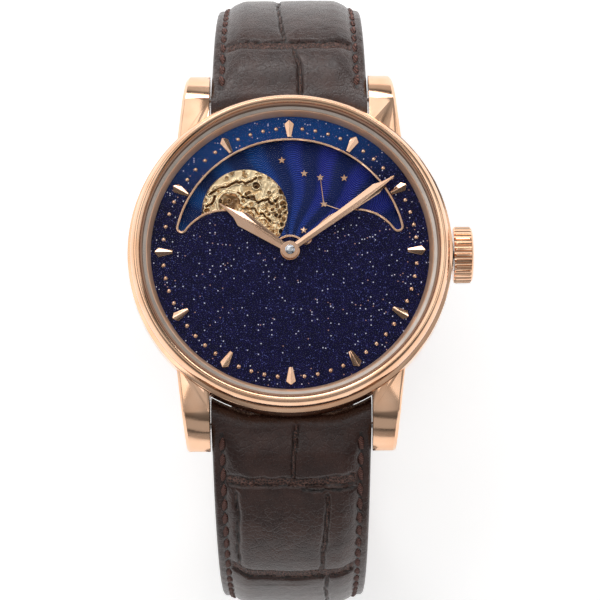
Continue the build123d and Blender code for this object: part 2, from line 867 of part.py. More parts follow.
# Going train: each arbor carries its pinion and wheel between the bridge and the main plate
lower_pivot_z = bridge_z + wheel_gap / 2
upper_pivot_z = plate_z + pivot_depth
shoulder = wheel_gap / 2
with BuildPart() as centre_wheel:
    add(wheel(centre_teeth, centre_module, centre_z, (0, 0), 0))
    add(leaves(centre_leaves, barrel_module, fourth_z, centre_z - fourth_z, (0, 0), 0))
    add(post((0, 0), centre_arbor_radius, train_z + shoulder, minute_hand_z - shoulder))
    add(post((0, 0), arbor_radius, lower_pivot_z, train_z + shoulder))
keep("centre_wheel", centre_wheel)


def arbor(centre, bottom_z=lower_pivot_z, shoulder_z=train_z + shoulder):
    """An arbor with a thin pivot at each end."""
    with BuildPart(mode=Mode.PRIVATE) as piece:
        add(post(centre, pivot_radius, bottom_z, upper_pivot_z))
        add(post(centre, arbor_radius, shoulder_z, plate_z - shoulder))
    return piece.part


with BuildPart() as third_wheel:
    add(wheel(third_teeth, third_module, third_z, third_at, third_phase))
    add(leaves(pinion_leaves, centre_module, centre_z - wheel_gap, pinion_height, third_at, third_phase))
    add(arbor(third_at))
keep("third_wheel", third_wheel)

with BuildPart() as fourth_wheel:
    add(wheel(fourth_teeth, fourth_module, fourth_z, fourth_at, fourth_phase))
    add(leaves(pinion_leaves, third_module, train_z + shoulder, pinion_height, fourth_at, fourth_phase))
    add(arbor(fourth_at))
keep("fourth_wheel", fourth_wheel)

# Escape wheel with hooked teeth
escape_root = escape_radius * (1 - escape_tooth_depth_share)
escape_step = 360 / escape_teeth
escape_corners = []
for tooth in range(escape_teeth):
    escape_corners += [
        polar(escape_root, tooth * escape_step, escape_at),
        polar(escape_radius, (tooth + escape_hook_share) * escape_step, escape_at),
        polar(escape_radius, (tooth + tooth_share) * escape_step, escape_at),
        polar(escape_root, (tooth + tooth_share) * escape_step, escape_at),
    ]
with BuildPart() as escape_wheel:
    with BuildSketch(Plane.XY.offset(centre_z)):
        with BuildLine():
            Polyline(*escape_corners, close=True)
        make_face()
        with Locations(escape_at):
            Circle(escape_root * rim_share, mode=Mode.SUBTRACT)
            Circle(hub_radius)
            with PolarLocations(0, spokes // 2, angular_range=180):
                Rectangle(2 * escape_root * rim_share + motion_module, spoke_width)
    extrude(amount=wheel_thickness)
    add(leaves(pinion_leaves, fourth_module, fourth_z - shoulder, pinion_height, escape_at, escape_phase))
    add(arbor(escape_at))
keep("escape_wheel", escape_wheel)

# Pallet fork: an anchor with two ruby stones and a lever with a forked end
fork_turn = balance_angle
wheel_side = pallet_angle - 180
arm_ends = [polar(fork_span, wheel_side + turn, pallet_at) for turn in (fork_spread, -fork_spread)]
pallet_pivot_z = fourth_z + wheel_thickness + wheel_gap
with BuildPart() as pallet_stones:
    for end in arm_ends:
        reach = hypot(end[0] - escape_at[0], end[1] - escape_at[1])
        side = degrees(atan2(end[1] - escape_at[1], end[0] - escape_at[0]))
        start = escape_radius + stone_gap
        with Locations(Location((*escape_at, centre_z + fork_thickness / 2), (0, 0, side))):
            with Locations(((start + reach) / 2, 0, 0)):
                Box(reach - start, stone_width, fork_thickness)
keep("pallet_stones", pallet_stones)

with BuildPart() as pallet_fork:
    with BuildSketch(Plane.XY.offset(centre_z)):
        with BuildLine():
            Polyline(arm_ends[0], pallet_at, arm_ends[1])
        trace(line_width=fork_arm_width)
        with BuildLine():
            Line(pallet_at, polar(fork_reach, fork_turn, pallet_at))
        trace(line_width=fork_arm_width)
        with Locations(Location((*polar(fork_reach, fork_turn, pallet_at), 0), (0, 0, fork_turn))):
            Rectangle(fork_mouth, 3 * fork_mouth)
            with Locations((fork_mouth / 2, 0)):
                Rectangle(fork_mouth, fork_mouth, mode=Mode.SUBTRACT)
        with Locations(pallet_at):
            Circle(hub_radius)
    extrude(amount=fork_thickness)
    add(arbor(pallet_at, pallet_pivot_z, pallet_pivot_z + pivot_depth + shoulder))
    add(pallet_stones.part, mode=Mode.SUBTRACT)
keep("pallet_fork", pallet_fork)

# Balance: a ring on three arms, its staff with the roller and the impulse pin, and the hairspring
balance_z = train_z + balance_lift
roller_z = centre_z - wheel_gap - roller_thickness
with BuildPart() as balance_wheel:
    with BuildSketch(Plane.XY.offset(balance_z)):
        with Locations(balance_at):
            Circle(balance_radius)
            Circle(balance_radius - balance_rim, mode=Mode.SUBTRACT)
            with PolarLocations(balance_radius / 2, balance_arms):
                Rectangle(balance_radius - balance_rim / 2, spoke_width)
            Circle(hub_radius)
            Circle(arbor_radius, mode=Mode.SUBTRACT)
    extrude(amount=balance_height)
keep("balance_wheel", balance_wheel)

with BuildPart() as balance_staff:
    add(arbor(balance_at))
    add(post(balance_at, hub_radius, train_z + shoulder, balance_z))
    add(post(balance_at, roller_radius, roller_z, roller_z + roller_thickness))
    add(
        post(
            polar(roller_radius - 2 * impulse_pin_radius, fork_turn + 180, balance_at),
            impulse_pin_radius,
            roller_z,
            centre_z - shoulder,
        )
    )
keep("balance_staff", balance_staff)

hairspring_z = train_z + hairspring_gap
with BuildPart() as hairspring:
    with BuildSketch(Plane.XY.offset(hairspring_z)):
        add(
            spiral(
                hairspring_turns,
                hairspring_pitch,
                hairspring_start_radius,
                hairspring_width,
                balance_at,
            )
        )
    extrude(amount=hairspring_height)
    hairspring_end_radius = hairspring_start_radius + hairspring_turns * hairspring_pitch
    stud_at = (balance_at[0] + hairspring_end_radius + stud_radius / 2, balance_at[1])
    add(post(stud_at, stud_radius, train_z, hairspring_z + hairspring_height))
keep("hairspring", hairspring)

# Bridges: seen from the back, one over the barrel, one over the train and a cock over the balance
bridge_gap = wheel_gap * 3 / 2
upper_corners = [
    (-plate_radius, bridge_line_y),
    bridge_bend,
    bridge_knee,
    (plate_radius, bridge_line_end_y),
    (plate_radius, plate_radius),
    (-plate_radius, plate_radius),
]
lower_corners = [
    (-plate_radius, bridge_line_y - bridge_gap),
    (bridge_bend[0] - bridge_gap / 2, bridge_line_y - bridge_gap),
    (bridge_knee[0] - bridge_gap, bridge_knee[1]),
    (bridge_knee[0] - bridge_gap, 2 * bridge_knee[1]),
    (-cock_width, balance_at[1]),
    (-cock_width * 3 / 2, -plate_radius),
    (-plate_radius, -plate_radius),
]
screw_places = [polar(bridge_screw_circle_radius, turn) for turn in bridge_screw_angles]
with BuildPart() as bridge_screws:
    for place in screw_places:
        add(post(place, screw_head_radius, bridge_z - screw_head_height, bridge_z))
        add(post(place, screw_radius, bridge_z, plate_z + plate_thickness / 2))
        with Locations((*place, bridge_z - screw_head_height)):
            Box(
                2 * screw_head_radius,
                screw_slot_width,
                screw_slot_depth,
                align=(Align.CENTER, Align.CENTER, Align.MIN),
                mode=Mode.SUBTRACT,
            )
    add(post(crown_wheel_at, hub_radius * 2, winding_wheel_z - shoulder, bridge_z))
    with Locations((*crown_wheel_at, winding_wheel_z - shoulder)):
        Box(
            4 * hub_radius,
            screw_slot_width,
            screw_slot_depth,
            align=(Align.CENTER, Align.CENTER, Align.MIN),
            mode=Mode.SUBTRACT,
        )
keep("bridge_screws", bridge_screws)

train_jewels = [third_at, fourth_at, escape_at, balance_at]
jewel_height = pivot_depth + shoulder
with BuildPart() as jewels:
    for place in train_jewels:
        add(post(place, jewel_radius, bridge_z, bridge_z + jewel_height))
        add(post(place, pivot_radius + running, bridge_z, bridge_z + jewel_height), mode=Mode.SUBTRACT)
    for place in train_jewels + [pallet_at]:
        add(post(place, jewel_radius, plate_z, plate_z + jewel_height))
        add(post(place, pivot_radius + running, plate_z, plate_z + jewel_height), mode=Mode.SUBTRACT)
keep("jewels", jewels)


def wall(start, end):
    """A piece of rim under a bridge, from one direction to another, down to the main plate."""
    with BuildPart(mode=Mode.PRIVATE) as piece:
        with BuildSketch(Plane.XY.offset(train_z)):
            with BuildLine():
                CenterArc((0, 0), (bridge_radius + rim_radius) / 2, start, end - start)
            trace(line_width=bridge_radius - rim_radius)
        extrude(amount=plate_z - train_z)
    return piece.part


def fitted(places):
    """Everything that is pressed or screwed into a bridge or the main plate."""
    with BuildPart(mode=Mode.PRIVATE) as fittings:
        add(bridge_screws.part)
        for place in places:
            add(post(place, jewel_radius, bridge_z, bridge_z + jewel_height))
            add(post(place, pivot_radius + running, bridge_z, train_z))
    return fittings.part


with BuildPart() as barrel_bridge:
    with BuildSketch(Plane.XY.offset(bridge_z)):
        Circle(bridge_radius)
        with BuildLine():
            Polyline(*upper_corners, close=True)
        make_face(mode=Mode.INTERSECT)
    extrude(amount=bridge_thickness)
    chamfer(faces().sort_by(Axis.Z)[0].edges(), bevel_width)
    add(wall(*barrel_wall_angles))
    add(fitted([]), mode=Mode.SUBTRACT)
    add(post(barrel_at, barrel_arbor_radius + running, bridge_z, train_z), mode=Mode.SUBTRACT)
    add(post(click_at, click_width / 2, winding_wheel_z - shoulder, bridge_z))
keep("barrel_bridge", barrel_bridge)

with BuildPart() as train_bridge:
    with BuildSketch(Plane.XY.offset(bridge_z)):
        Circle(bridge_radius)
        with BuildLine():
            Polyline(*lower_corners, close=True)
        make_face(mode=Mode.INTERSECT)
        with Locations(balance_at):
            Circle(balance_radius + hub_radius, mode=Mode.SUBTRACT)
    extrude(amount=bridge_thickness)
    chamfer(faces().sort_by(Axis.Z)[0].edges(), bevel_width)
    add(wall(*train_wall_angles))
    add(fitted(train_jewels[:-1]), mode=Mode.SUBTRACT)
    add(post((0, 0), arbor_radius + running, bridge_z, train_z), mode=Mode.SUBTRACT)
keep("train_bridge", train_bridge)

cock_angle = bridge_screw_angles[-1]
with BuildPart() as balance_cock:
    with BuildSketch(Plane.XY.offset(bridge_z)):
        with BuildLine():
            Line(balance_at, polar(bridge_radius, cock_angle))
        trace(line_width=cock_width)
        with Locations(balance_at):
            Circle(cock_eye_radius)
        with Locations(stud_at):
            Circle(3 * stud_radius)
        Circle(bridge_radius, mode=Mode.INTERSECT)
    extrude(amount=bridge_thickness)
    chamfer(faces().sort_by(Axis.Z)[0].edges(), bevel_width)
    add(wall(cock_angle - cock_wall_angle, cock_angle + cock_wall_angle))
    add(fitted(train_jewels[-1:]), mode=Mode.SUBTRACT)
keep("balance_cock", balance_cock)

# Regulator: a ring round the balance jewel with a pointer, on the outside of the cock
with BuildPart() as regulator:
    with BuildSketch(Plane.XY.offset(bridge_z)):
        with BuildLine():
            Line(balance_at, polar(2 * cock_eye_radius, cock_angle + cock_tail_angle, balance_at))
        trace(line_width=spoke_width)
        with Locations(balance_at):
            Circle(jewel_radius * 2)
            Circle(jewel_radius, mode=Mode.SUBTRACT)
    extrude(amount=-jewel_rise)
keep("regulator", regulator)

# Pallet bridge, under the pallet fork, with its foot on the main plate
pallet_bridge_z = pallet_pivot_z + shoulder
pallet_foot_at = (pallet_at[0] + fork_arm_width, pallet_at[1] - cock_eye_radius * 2)
pallet_bridge_thickness = centre_z - shoulder - pallet_bridge_z
with BuildPart() as pallet_bridge:
    with BuildSketch(Plane.XY.offset(pallet_bridge_z)):
        with BuildLine():
            Line(pallet_at, pallet_foot_at)
        trace(line_width=2 * jewel_radius)
        with Locations(pallet_at, pallet_foot_at):
            Circle(jewel_radius)
    extrude(amount=pallet_bridge_thickness)
    add(post(pallet_foot_at, jewel_radius, pallet_bridge_z, plate_z))
    add(post(pallet_at, arbor_radius + running, pallet_bridge_z, centre_z), mode=Mode.SUBTRACT)
keep("pallet_bridge", pallet_bridge)

# Barrel: a toothed drum with its lid, the coiled mainspring, and the arbor with the ratchet wheel on it
barrel_z = train_z + wheel_gap
barrel_top_z = barrel_z + barrel_height
drum_radius = barrel_teeth * barrel_module / 2 * barrel_drum_share
with BuildPart() as barrel:
    add(post(barrel_at, drum_radius, barrel_z, barrel_top_z))
    add(
        leaves(barrel_teeth, barrel_module, fourth_z + shoulder, wheel_thickness, barrel_at, barrel_phase),
    )
    add(
        post(barrel_at, drum_radius - barrel_wall, barrel_z + barrel_floor, barrel_top_z - barrel_floor),
        mode=Mode.SUBTRACT,
    )
    add(post(barrel_at, arbor_radius * 2 + running, barrel_z, barrel_top_z), mode=Mode.SUBTRACT)
keep("barrel", barrel)

with BuildPart() as mainspring:
    with BuildSketch(Plane.XY.offset(barrel_z + barrel_floor + slip)):
        add(
            spiral(
                mainspring_turns,
                mainspring_pitch,
                drum_radius - barrel_wall - mainspring_width - mainspring_turns * mainspring_pitch,
                mainspring_width,
                barrel_at,
            )
        )
    extrude(amount=barrel_height - 2 * (barrel_floor + slip))
keep("mainspring", mainspring)

ratchet_bottom_z = winding_wheel_z
with BuildPart() as barrel_arbor:
    add(post(barrel_at, barrel_arbor_radius, bridge_z - shoulder, barrel_z - shoulder))
    add(post(barrel_at, arbor_radius * 2, barrel_z - shoulder, plate_z + pivot_depth))
    add(post(barrel_at, arbor_radius, ratchet_bottom_z, bridge_z))
keep("barrel_arbor", barrel_arbor)

with BuildPart() as ratchet_wheel:
    add(leaves(ratchet_teeth, winding_module, winding_wheel_z, winding_wheel_thickness, barrel_at, 0))
    add(
        post(barrel_at, barrel_arbor_radius + slip, winding_wheel_z, winding_wheel_middle_z),
        mode=Mode.SUBTRACT,
    )
    add(post(barrel_at, arbor_radius, winding_wheel_z, bridge_z), mode=Mode.SUBTRACT)
keep("ratchet_wheel", ratchet_wheel)

with BuildPart() as crown_wheel:
    add(
        leaves(
            crown_wheel_teeth,
            winding_module,
            winding_wheel_z,
            winding_wheel_thickness,
            crown_wheel_at,
            crown_wheel_phase,
        )
    )
    add(
        post(crown_wheel_at, hub_radius * 2 + running, winding_wheel_z, bridge_z),
        mode=Mode.SUBTRACT,
    )
keep("crown_wheel", crown_wheel)

# The screw in the ratchet wheel turns with it
with BuildPart() as ratchet_screw:
    add(post(barrel_at, barrel_arbor_radius, winding_wheel_z - shoulder, winding_wheel_middle_z))
    add(post(barrel_at, arbor_radius, winding_wheel_z, winding_wheel_top_z), mode=Mode.SUBTRACT)
    with Locations((*barrel_at, winding_wheel_z - shoulder)):
        Box(
            2 * barrel_arbor_radius,
            screw_slot_width,
            screw_slot_depth,
            align=(Align.CENTER, Align.CENTER, Align.MIN),
            mode=Mode.SUBTRACT,
        )
keep("ratchet_screw", ratchet_screw)


# Click: a small lever that stands beside the ratchet wheel, on its post
with BuildPart() as click:
    with BuildSketch(Plane.XY.offset(winding_wheel_z)):
        with Locations(click_at):
            Circle(click_width)
        with BuildLine():
            Polyline(
                polar(click_width, click_angle - click_lean - 90, click_at),
                click_tip_at,
                polar(click_width, click_angle - click_lean + 90, click_at),
                close=True,
            )
        make_face()
        with Locations(click_at):
            Circle(click_width / 2 + running, mode=Mode.SUBTRACT)
    extrude(amount=winding_wheel_thickness)
keep("click", click)

# Stem, winding pinion, crown, its tube and seal
crown_start_x = case_radius + crown_gap
seal_foot_x = crown_start_x + slip
crown_end_x = crown_start_x + crown_length
tube_start_x = case_bore_radius + slip
tube_end_x = tube_start_x + tube_length


def along_stem(radius, start, end):
    """A round piece on the axis of the stem."""
    with BuildPart(mode=Mode.PRIVATE) as piece:
        with Locations(Location((start, 0, crown_z), (0, 90, 0))):
            Cylinder(radius, end - start, align=(Align.CENTER, Align.CENTER, Align.MIN))
    return piece.part


with BuildPart() as winding_stem:
    add(along_stem(stem_radius, stem_end_x, crown_start_x + crown_recess_depth))
keep("winding_stem", winding_stem)

pinion_end_x = winding_pinion_x + winding_pinion_length
with BuildPart() as winding_pinion:
    with BuildSketch(Plane.YZ.offset(winding_pinion_x)):
        with Locations((0, crown_z)):
            add(gear_face(winding_pinion_teeth, 2 * winding_pinion_radius / (winding_pinion_teeth + 2)))
            Circle(stem_radius, mode=Mode.SUBTRACT)
    extrude(amount=winding_pinion_length)
keep("winding_pinion", winding_pinion)

with BuildPart() as crown_tube:
    add(along_stem(tube_radius, tube_start_x, tube_end_x))
    add(along_stem(tube_bore_radius, tube_start_x, tube_end_x), mode=Mode.SUBTRACT)
keep("crown_tube", crown_tube)

with BuildPart() as crown_gasket:
    add(along_stem(crown_recess_radius - running, seal_foot_x, seal_foot_x + crown_seal_width))
    add(along_stem(tube_radius + running, crown_start_x, crown_end_x), mode=Mode.SUBTRACT)
keep("crown_gasket", crown_gasket)

crown_reach, crown_drop = dome_middle(crown_radius - crown_dome, crown_dome / 3)
with BuildPart() as crown:
    with BuildSketch(Plane.XZ):
        with BuildLine():
            Line((crown_start_x, crown_z), (crown_start_x, crown_z + crown_radius - crown_foot))
            ThreePointArc(
                (crown_start_x, crown_z + crown_radius - crown_foot),
                (crown_start_x + crown_foot / 4, crown_z + crown_radius - crown_foot / 4),
                (crown_start_x + crown_foot, crown_z + crown_radius),
            )
            Line(
                (crown_start_x + crown_foot, crown_z + crown_radius),
                (crown_end_x - crown_dome, crown_z + crown_radius),
            )
            ThreePointArc(
                (crown_end_x - crown_dome, crown_z + crown_radius),
                (crown_end_x - crown_dome / 2, crown_z + crown_radius - crown_foot / 2),
                (crown_end_x - crown_dome / 3, crown_z + crown_radius - crown_dome),
            )
            ThreePointArc(
                (crown_end_x - crown_dome / 3, crown_z + crown_radius - crown_dome),
                (crown_end_x - crown_drop, crown_z + crown_reach),
                (crown_end_x, crown_z),
            )
            Line((crown_end_x, crown_z), (crown_start_x, crown_z))
        make_face()
    revolve(axis=Axis((0, 0, crown_z), (1, 0, 0)))
    with BuildSketch(Plane.YZ.offset(crown_start_x)):
        with Locations((0, crown_z)):
            with PolarLocations(crown_radius, crown_flutes):
                Circle(crown_flute_radius)
    extrude(amount=crown_length - crown_dome * 2 / 3, mode=Mode.SUBTRACT)
    add(
        along_stem(crown_recess_radius, crown_start_x, crown_start_x + crown_recess_depth),
        mode=Mode.SUBTRACT,
    )
keep("crown", crown)

# Main plate with its holes, and the ring that holds the movement in the case
with BuildPart() as main_plate:
    with BuildSketch(Plane.XY.offset(plate_z)):
        Circle(plate_radius)
        Circle(centre_arbor_radius + running, mode=Mode.SUBTRACT)
    extrude(amount=plate_thickness)
    for place in train_jewels + [pallet_at]:
        add(post(place, jewel_radius, plate_z, plate_z + jewel_height), mode=Mode.SUBTRACT)
        add(post(place, pivot_radius + running, plate_z, upper_pivot_z + shoulder), mode=Mode.SUBTRACT)
    add(bridge_screws.part, mode=Mode.SUBTRACT)
    add(
        post(barrel_at, arbor_radius * 2 + running, plate_z, plate_z + pivot_depth + shoulder),
        mode=Mode.SUBTRACT,
    )
    add(
        along_stem(
            winding_pinion_radius + wheel_gap,
            winding_pinion_x - 2 * slip,
            pinion_end_x + crown_travel + slip,
        ),
        mode=Mode.SUBTRACT,
    )
    add(along_stem(stem_radius + running, stem_end_x - slip, plate_radius + overrun), mode=Mode.SUBTRACT)
    add(post(motion_at, arbor_radius, plate_top_z, minute_wheel_top_z))
keep("main_plate", main_plate)

ring_outer_radius = case_bore_radius - slip
ring_z = case_foot_z + back_spigot + slip
with BuildPart() as movement_ring:
    with BuildSketch(Plane.XY.offset(ring_z)):
        Circle(ring_outer_radius)
        Circle(plate_radius + slip, mode=Mode.SUBTRACT)
    extrude(amount=dial_z - ring_z)
    add(along_stem(tube_radius, 0, case_radius), mode=Mode.SUBTRACT)
keep("movement_ring", movement_ring)

# Spring bars: a round tube with a thinner pin at each end, in the holes of the lugs
strap_root_width = lug_gap - 2 * strap_room


def spring_bar(side_y):
    """A spring bar between a pair of lugs."""
    with BuildPart(mode=Mode.PRIVATE) as piece:
        with Locations(Location((0, side_y, bar_z), (0, 90, 0))):
            Cylinder(bar_radius, strap_root_width)
            Cylinder(bar_pin_radius, lug_gap + 2 * bar_pin_depth)
    return piece.part


with BuildPart() as spring_bar_12:
    add(spring_bar(bar_y))
keep("spring_bar_12", spring_bar_12)
with BuildPart() as spring_bar_6:
    add(spring_bar(-bar_y))
keep("spring_bar_6", spring_bar_6)


def stations(steps):
    """Walks a route of (radius, turn) arcs and (length, 0) straights; gives distance, y, z and heading."""
    distance = 0.0
    y = bar_y
    z = bar_z
    heading = -strap_start_angle
    found = [(distance, y, z, heading)]
    for size, turn in steps:
        parts = max(1, round(turn / bend_step))
        for _ in range(parts):
            if turn:
                centre_y = y + size * sin(radians(heading))
                centre_z = z - size * cos(radians(heading))
                heading -= turn / parts
                y = centre_y - size * sin(radians(heading))
                z = centre_z + size * cos(radians(heading))
                distance += size * radians(turn / parts)
            else:
                y += size / parts * cos(radians(heading))
                z += size / parts * sin(radians(heading))
                distance += size / parts
            found.append((distance, y, z, heading))
    return found


def strap_plane(station):
    """The plane of a cross section: local x across the strap, local y to the wrist."""
    distance, y, z, heading = station
    return Plane(origin=(0, y, z), x_dir=(1, 0, 0), z_dir=(0, cos(radians(heading)), sin(radians(heading))))


def strap_height(distance):
    """How thick the strap is at a distance from its spring bar."""
    swell = min(1, distance / strap_swell_length)
    fall = min(1, distance / strap_pad_length)
    root = 2 * strap_root_radius
    return root + (strap_pad_thickness - root) * swell + (strap_thickness - strap_pad_thickness) * fall


def strap_blank(route):
    """The bare strap along a route: flat towards the wrist and padded on the outside."""
    with BuildPart(mode=Mode.PRIVATE) as piece:
        for station in route:
            distance = station[0]
            height = strap_height(distance)
            share = min(1, distance / strap_taper_length)
            half = (strap_root_width + (strap_end_width - strap_root_width) * share) / 2
            edge = height / 2 - height * strap_edge_share
            with BuildSketch(strap_plane(station)):
                with BuildLine():
                    Polyline((-half, edge), (-half, height / 2), (half, height / 2), (half, edge))
                    ThreePointArc((half, edge), (0, -height / 2), (-half, edge))
                make_face()
        loft(ruled=True)
        with Locations(Location((0, bar_y, bar_z), (0, 90, 0))):
            Cylinder(strap_root_radius, strap_root_width)
            Cylinder(bar_radius + running, lug_gap, mode=Mode.SUBTRACT)
    return piece.part


upper_route = stations(
    [
        (upper_bend_radius, 90 - strap_start_angle),
        (upper_heel_radius, 90),
        (upper_flat, 0),
    ]
)
lower_route = stations(
    [
        (lower_bend_radius, 90 - strap_start_angle),
        (lower_heel_radius, 90),
        (lower_flat, 0),
        (lower_rise_radius, lower_rise_angle),
        (lower_tail, 0),
    ]
)

# Half at twelve o'clock, with an eye for the buckle bar and a slot for the tang
end_y = upper_route[-1][1]
end_z = upper_route[-1][2]
slot_width = tang_width + 2 * tang_room
with BuildPart() as strap_12:
    add(strap_blank(upper_route))
    with Locations(Location((0, end_y, end_z), (0, 90, 0))):
        Cylinder(strap_thickness / 2, strap_end_width)
        Cylinder(buckle_bar_radius + running, lug_gap, mode=Mode.SUBTRACT)
    with Locations((0, end_y, end_z)):
        Box(slot_width, 4 * strap_thickness / 2 + tang_room, 2 * strap_thickness, mode=Mode.SUBTRACT)
keep("strap_12", strap_12)

# Half at six o'clock, with the holes and the rounded tip
tip = lower_route[-1]
tip_plane = Plane(
    origin=(0, tip[1], tip[2]),
    x_dir=(1, 0, 0),
    z_dir=(0, sin(radians(tip[3])), -cos(radians(tip[3]))),
)
tip_radius = strap_end_width * strap_tip_share
with BuildPart() as strap_6:
    add(strap_blank(lower_route))
    with BuildSketch(tip_plane):
        Rectangle(2 * strap_end_width, 2 * tip_radius)
        with Locations((0, tip_radius)):
            Circle(tip_radius, mode=Mode.SUBTRACT)
        with Locations(*[(0, first_hole + hole_pitch * hole) for hole in range(holes)]):
            Circle(hole_radius)
    extrude(amount=strap_pad_thickness, both=True, mode=Mode.SUBTRACT)
    mirror(about=Plane.XZ, mode=Mode.REPLACE)
keep("strap_6", strap_6)

# Keepers: two leather loops round the half at twelve o'clock, one fixed and one that slides


def keeper(centre_y):
    """A rectangular loop round the flat run of the strap, with a little room for the other half."""
    inner_width = strap_end_width + 2 * keeper_side_room + keeper_side_room
    inner_height = strap_thickness + keeper_side_room + keeper_slack
    with BuildPart(mode=Mode.PRIVATE) as loop:
        with Locations((0, centre_y, end_z - (keeper_slack - keeper_side_room) / 2)):
            Box(inner_width + 2 * keeper_wall, keeper_length, inner_height + 2 * keeper_wall)
            fillet(loop.edges().filter_by(Axis.Y), keeper_wall * 2 / 3)
            Box(inner_width, keeper_length, inner_height, mode=Mode.SUBTRACT)
    return loop.part


with BuildPart() as fixed_keeper:
    add(keeper(fixed_keeper_y))
keep("fixed_keeper", fixed_keeper)
with BuildPart() as sliding_keeper:
    add(keeper(sliding_keeper_y))
keep("sliding_keeper", sliding_keeper)

# Buckle: a frame, its bar through the eye of the strap, and the tang
frame_half = strap_end_width / 2 + buckle_side_room
frame_front_y = end_y - buckle_reach
front_z = end_z + buckle_front_lift
with BuildPart() as buckle_frame:
    with BuildSketch(Plane.XY.offset(end_z - buckle_front_radius)):
        with Locations((0, (end_y + tang_hub_radius + frame_front_y) / 2)):
            RectangleRounded(
                2 * (frame_half + buckle_side),
                end_y + tang_hub_radius - frame_front_y,
                buckle_corner_radius,
            )
            Rectangle(2 * frame_half, lug_gap, mode=Mode.SUBTRACT)
    extrude(amount=buckle_front_lift + 2 * buckle_front_radius)
    fillet(edges().filter_by(GeomType.LINE).filter_by(Axis.Y), buckle_side / 4)
    with Locations(Location((0, frame_front_y + buckle_corner / 2, front_z), (0, 90, 0))):
        Cylinder(buckle_front_radius, 2 * frame_half + buckle_side)
    with Locations(Location((0, end_y, end_z), (0, 90, 0))):
        Cylinder(buckle_bar_radius, 2 * frame_half + buckle_side, mode=Mode.SUBTRACT)
keep("buckle_frame", buckle_frame)

with BuildPart() as buckle_bar:
    with Locations(Location((0, end_y, end_z), (0, 90, 0))):
        Cylinder(buckle_bar_radius, 2 * frame_half + buckle_side)
keep("buckle_bar", buckle_bar)

tang_low_z = front_z - buckle_front_radius - running - tang_thickness
with BuildPart() as buckle_tang:
    with Locations(Location((0, end_y, end_z), (0, 90, 0))):
        Cylinder(tang_hub_radius, tang_width)
    with Locations((0, end_y, tang_low_z)):
        Box(
            tang_width,
            buckle_reach - buckle_corner / 2 + buckle_front_radius + tang_overhang,
            tang_thickness,
            align=(Align.CENTER, Align.MAX, Align.MIN),
        )
    with Locations(Location((0, end_y, end_z), (0, 90, 0))):
        Cylinder(buckle_bar_radius + running, tang_width, mode=Mode.SUBTRACT)
keep("buckle_tang", buckle_tang)

for name, builder in pieces.items():
    export_step(builder.part, f"parts/{name}.step")
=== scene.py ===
# Moon phase wristwatch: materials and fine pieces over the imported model. Metres; mm is one millimetre.
import random
from math import asin, atan2, cos, exp, hypot, pi, radians, sin, sqrt, tau

import bpy
from mathutils import Matrix, Vector, noise


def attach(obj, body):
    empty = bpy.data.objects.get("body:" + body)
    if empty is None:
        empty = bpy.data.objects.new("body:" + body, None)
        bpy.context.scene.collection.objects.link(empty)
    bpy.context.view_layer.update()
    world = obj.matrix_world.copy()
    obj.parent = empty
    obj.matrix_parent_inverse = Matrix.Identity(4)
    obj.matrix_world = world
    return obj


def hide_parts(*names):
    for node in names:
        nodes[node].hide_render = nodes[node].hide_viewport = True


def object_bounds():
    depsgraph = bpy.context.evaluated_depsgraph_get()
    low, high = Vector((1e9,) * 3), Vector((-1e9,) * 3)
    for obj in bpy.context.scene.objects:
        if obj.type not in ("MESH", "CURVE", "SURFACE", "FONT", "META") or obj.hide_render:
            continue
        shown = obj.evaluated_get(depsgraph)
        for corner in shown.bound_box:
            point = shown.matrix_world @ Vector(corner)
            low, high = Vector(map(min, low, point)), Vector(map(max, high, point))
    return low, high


mm = 0.001
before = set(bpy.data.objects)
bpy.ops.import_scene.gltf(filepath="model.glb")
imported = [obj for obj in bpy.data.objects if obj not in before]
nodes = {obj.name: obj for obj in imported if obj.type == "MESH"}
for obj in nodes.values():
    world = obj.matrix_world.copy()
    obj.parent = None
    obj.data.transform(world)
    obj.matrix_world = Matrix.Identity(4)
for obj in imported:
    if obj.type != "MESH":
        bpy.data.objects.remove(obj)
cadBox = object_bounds()
bpy.ops.object.select_all(action="DESELECT")
print("frame loaded")


# Shader helpers

socketNames = {"Base": "Base Color", "Coat": "Coat Weight", "Shine": "Specular IOR Level"}


class Wire:  # a shader value that can be used in plain sums
    def __init__(self, make, socket):
        self.make = make
        self.socket = socket

    def sum(self, kind, other, swap=False):
        pair = (other, self) if swap else (self, other)
        return self.make.node("ShaderNodeMath", {"operation": kind}, {0: pair[0], 1: pair[1]})

    def __add__(self, other):
        return self.sum("ADD", other)

    __radd__ = __add__

    def __sub__(self, other):
        return self.sum("SUBTRACT", other)

    def __rsub__(self, other):
        return self.sum("SUBTRACT", other, True)

    def __mul__(self, other):
        return self.sum("MULTIPLY", other)

    def sine(self):
        return self.sum("SINE", 0.0)

    def between(self, low, high):  # 0 below low, 1 above high and smooth in between
        ends = {"Value": self, "From Min": low, "From Max": high}
        return self.make.node("ShaderNodeMapRange", {"interpolation_type": "SMOOTHSTEP"}, ends)


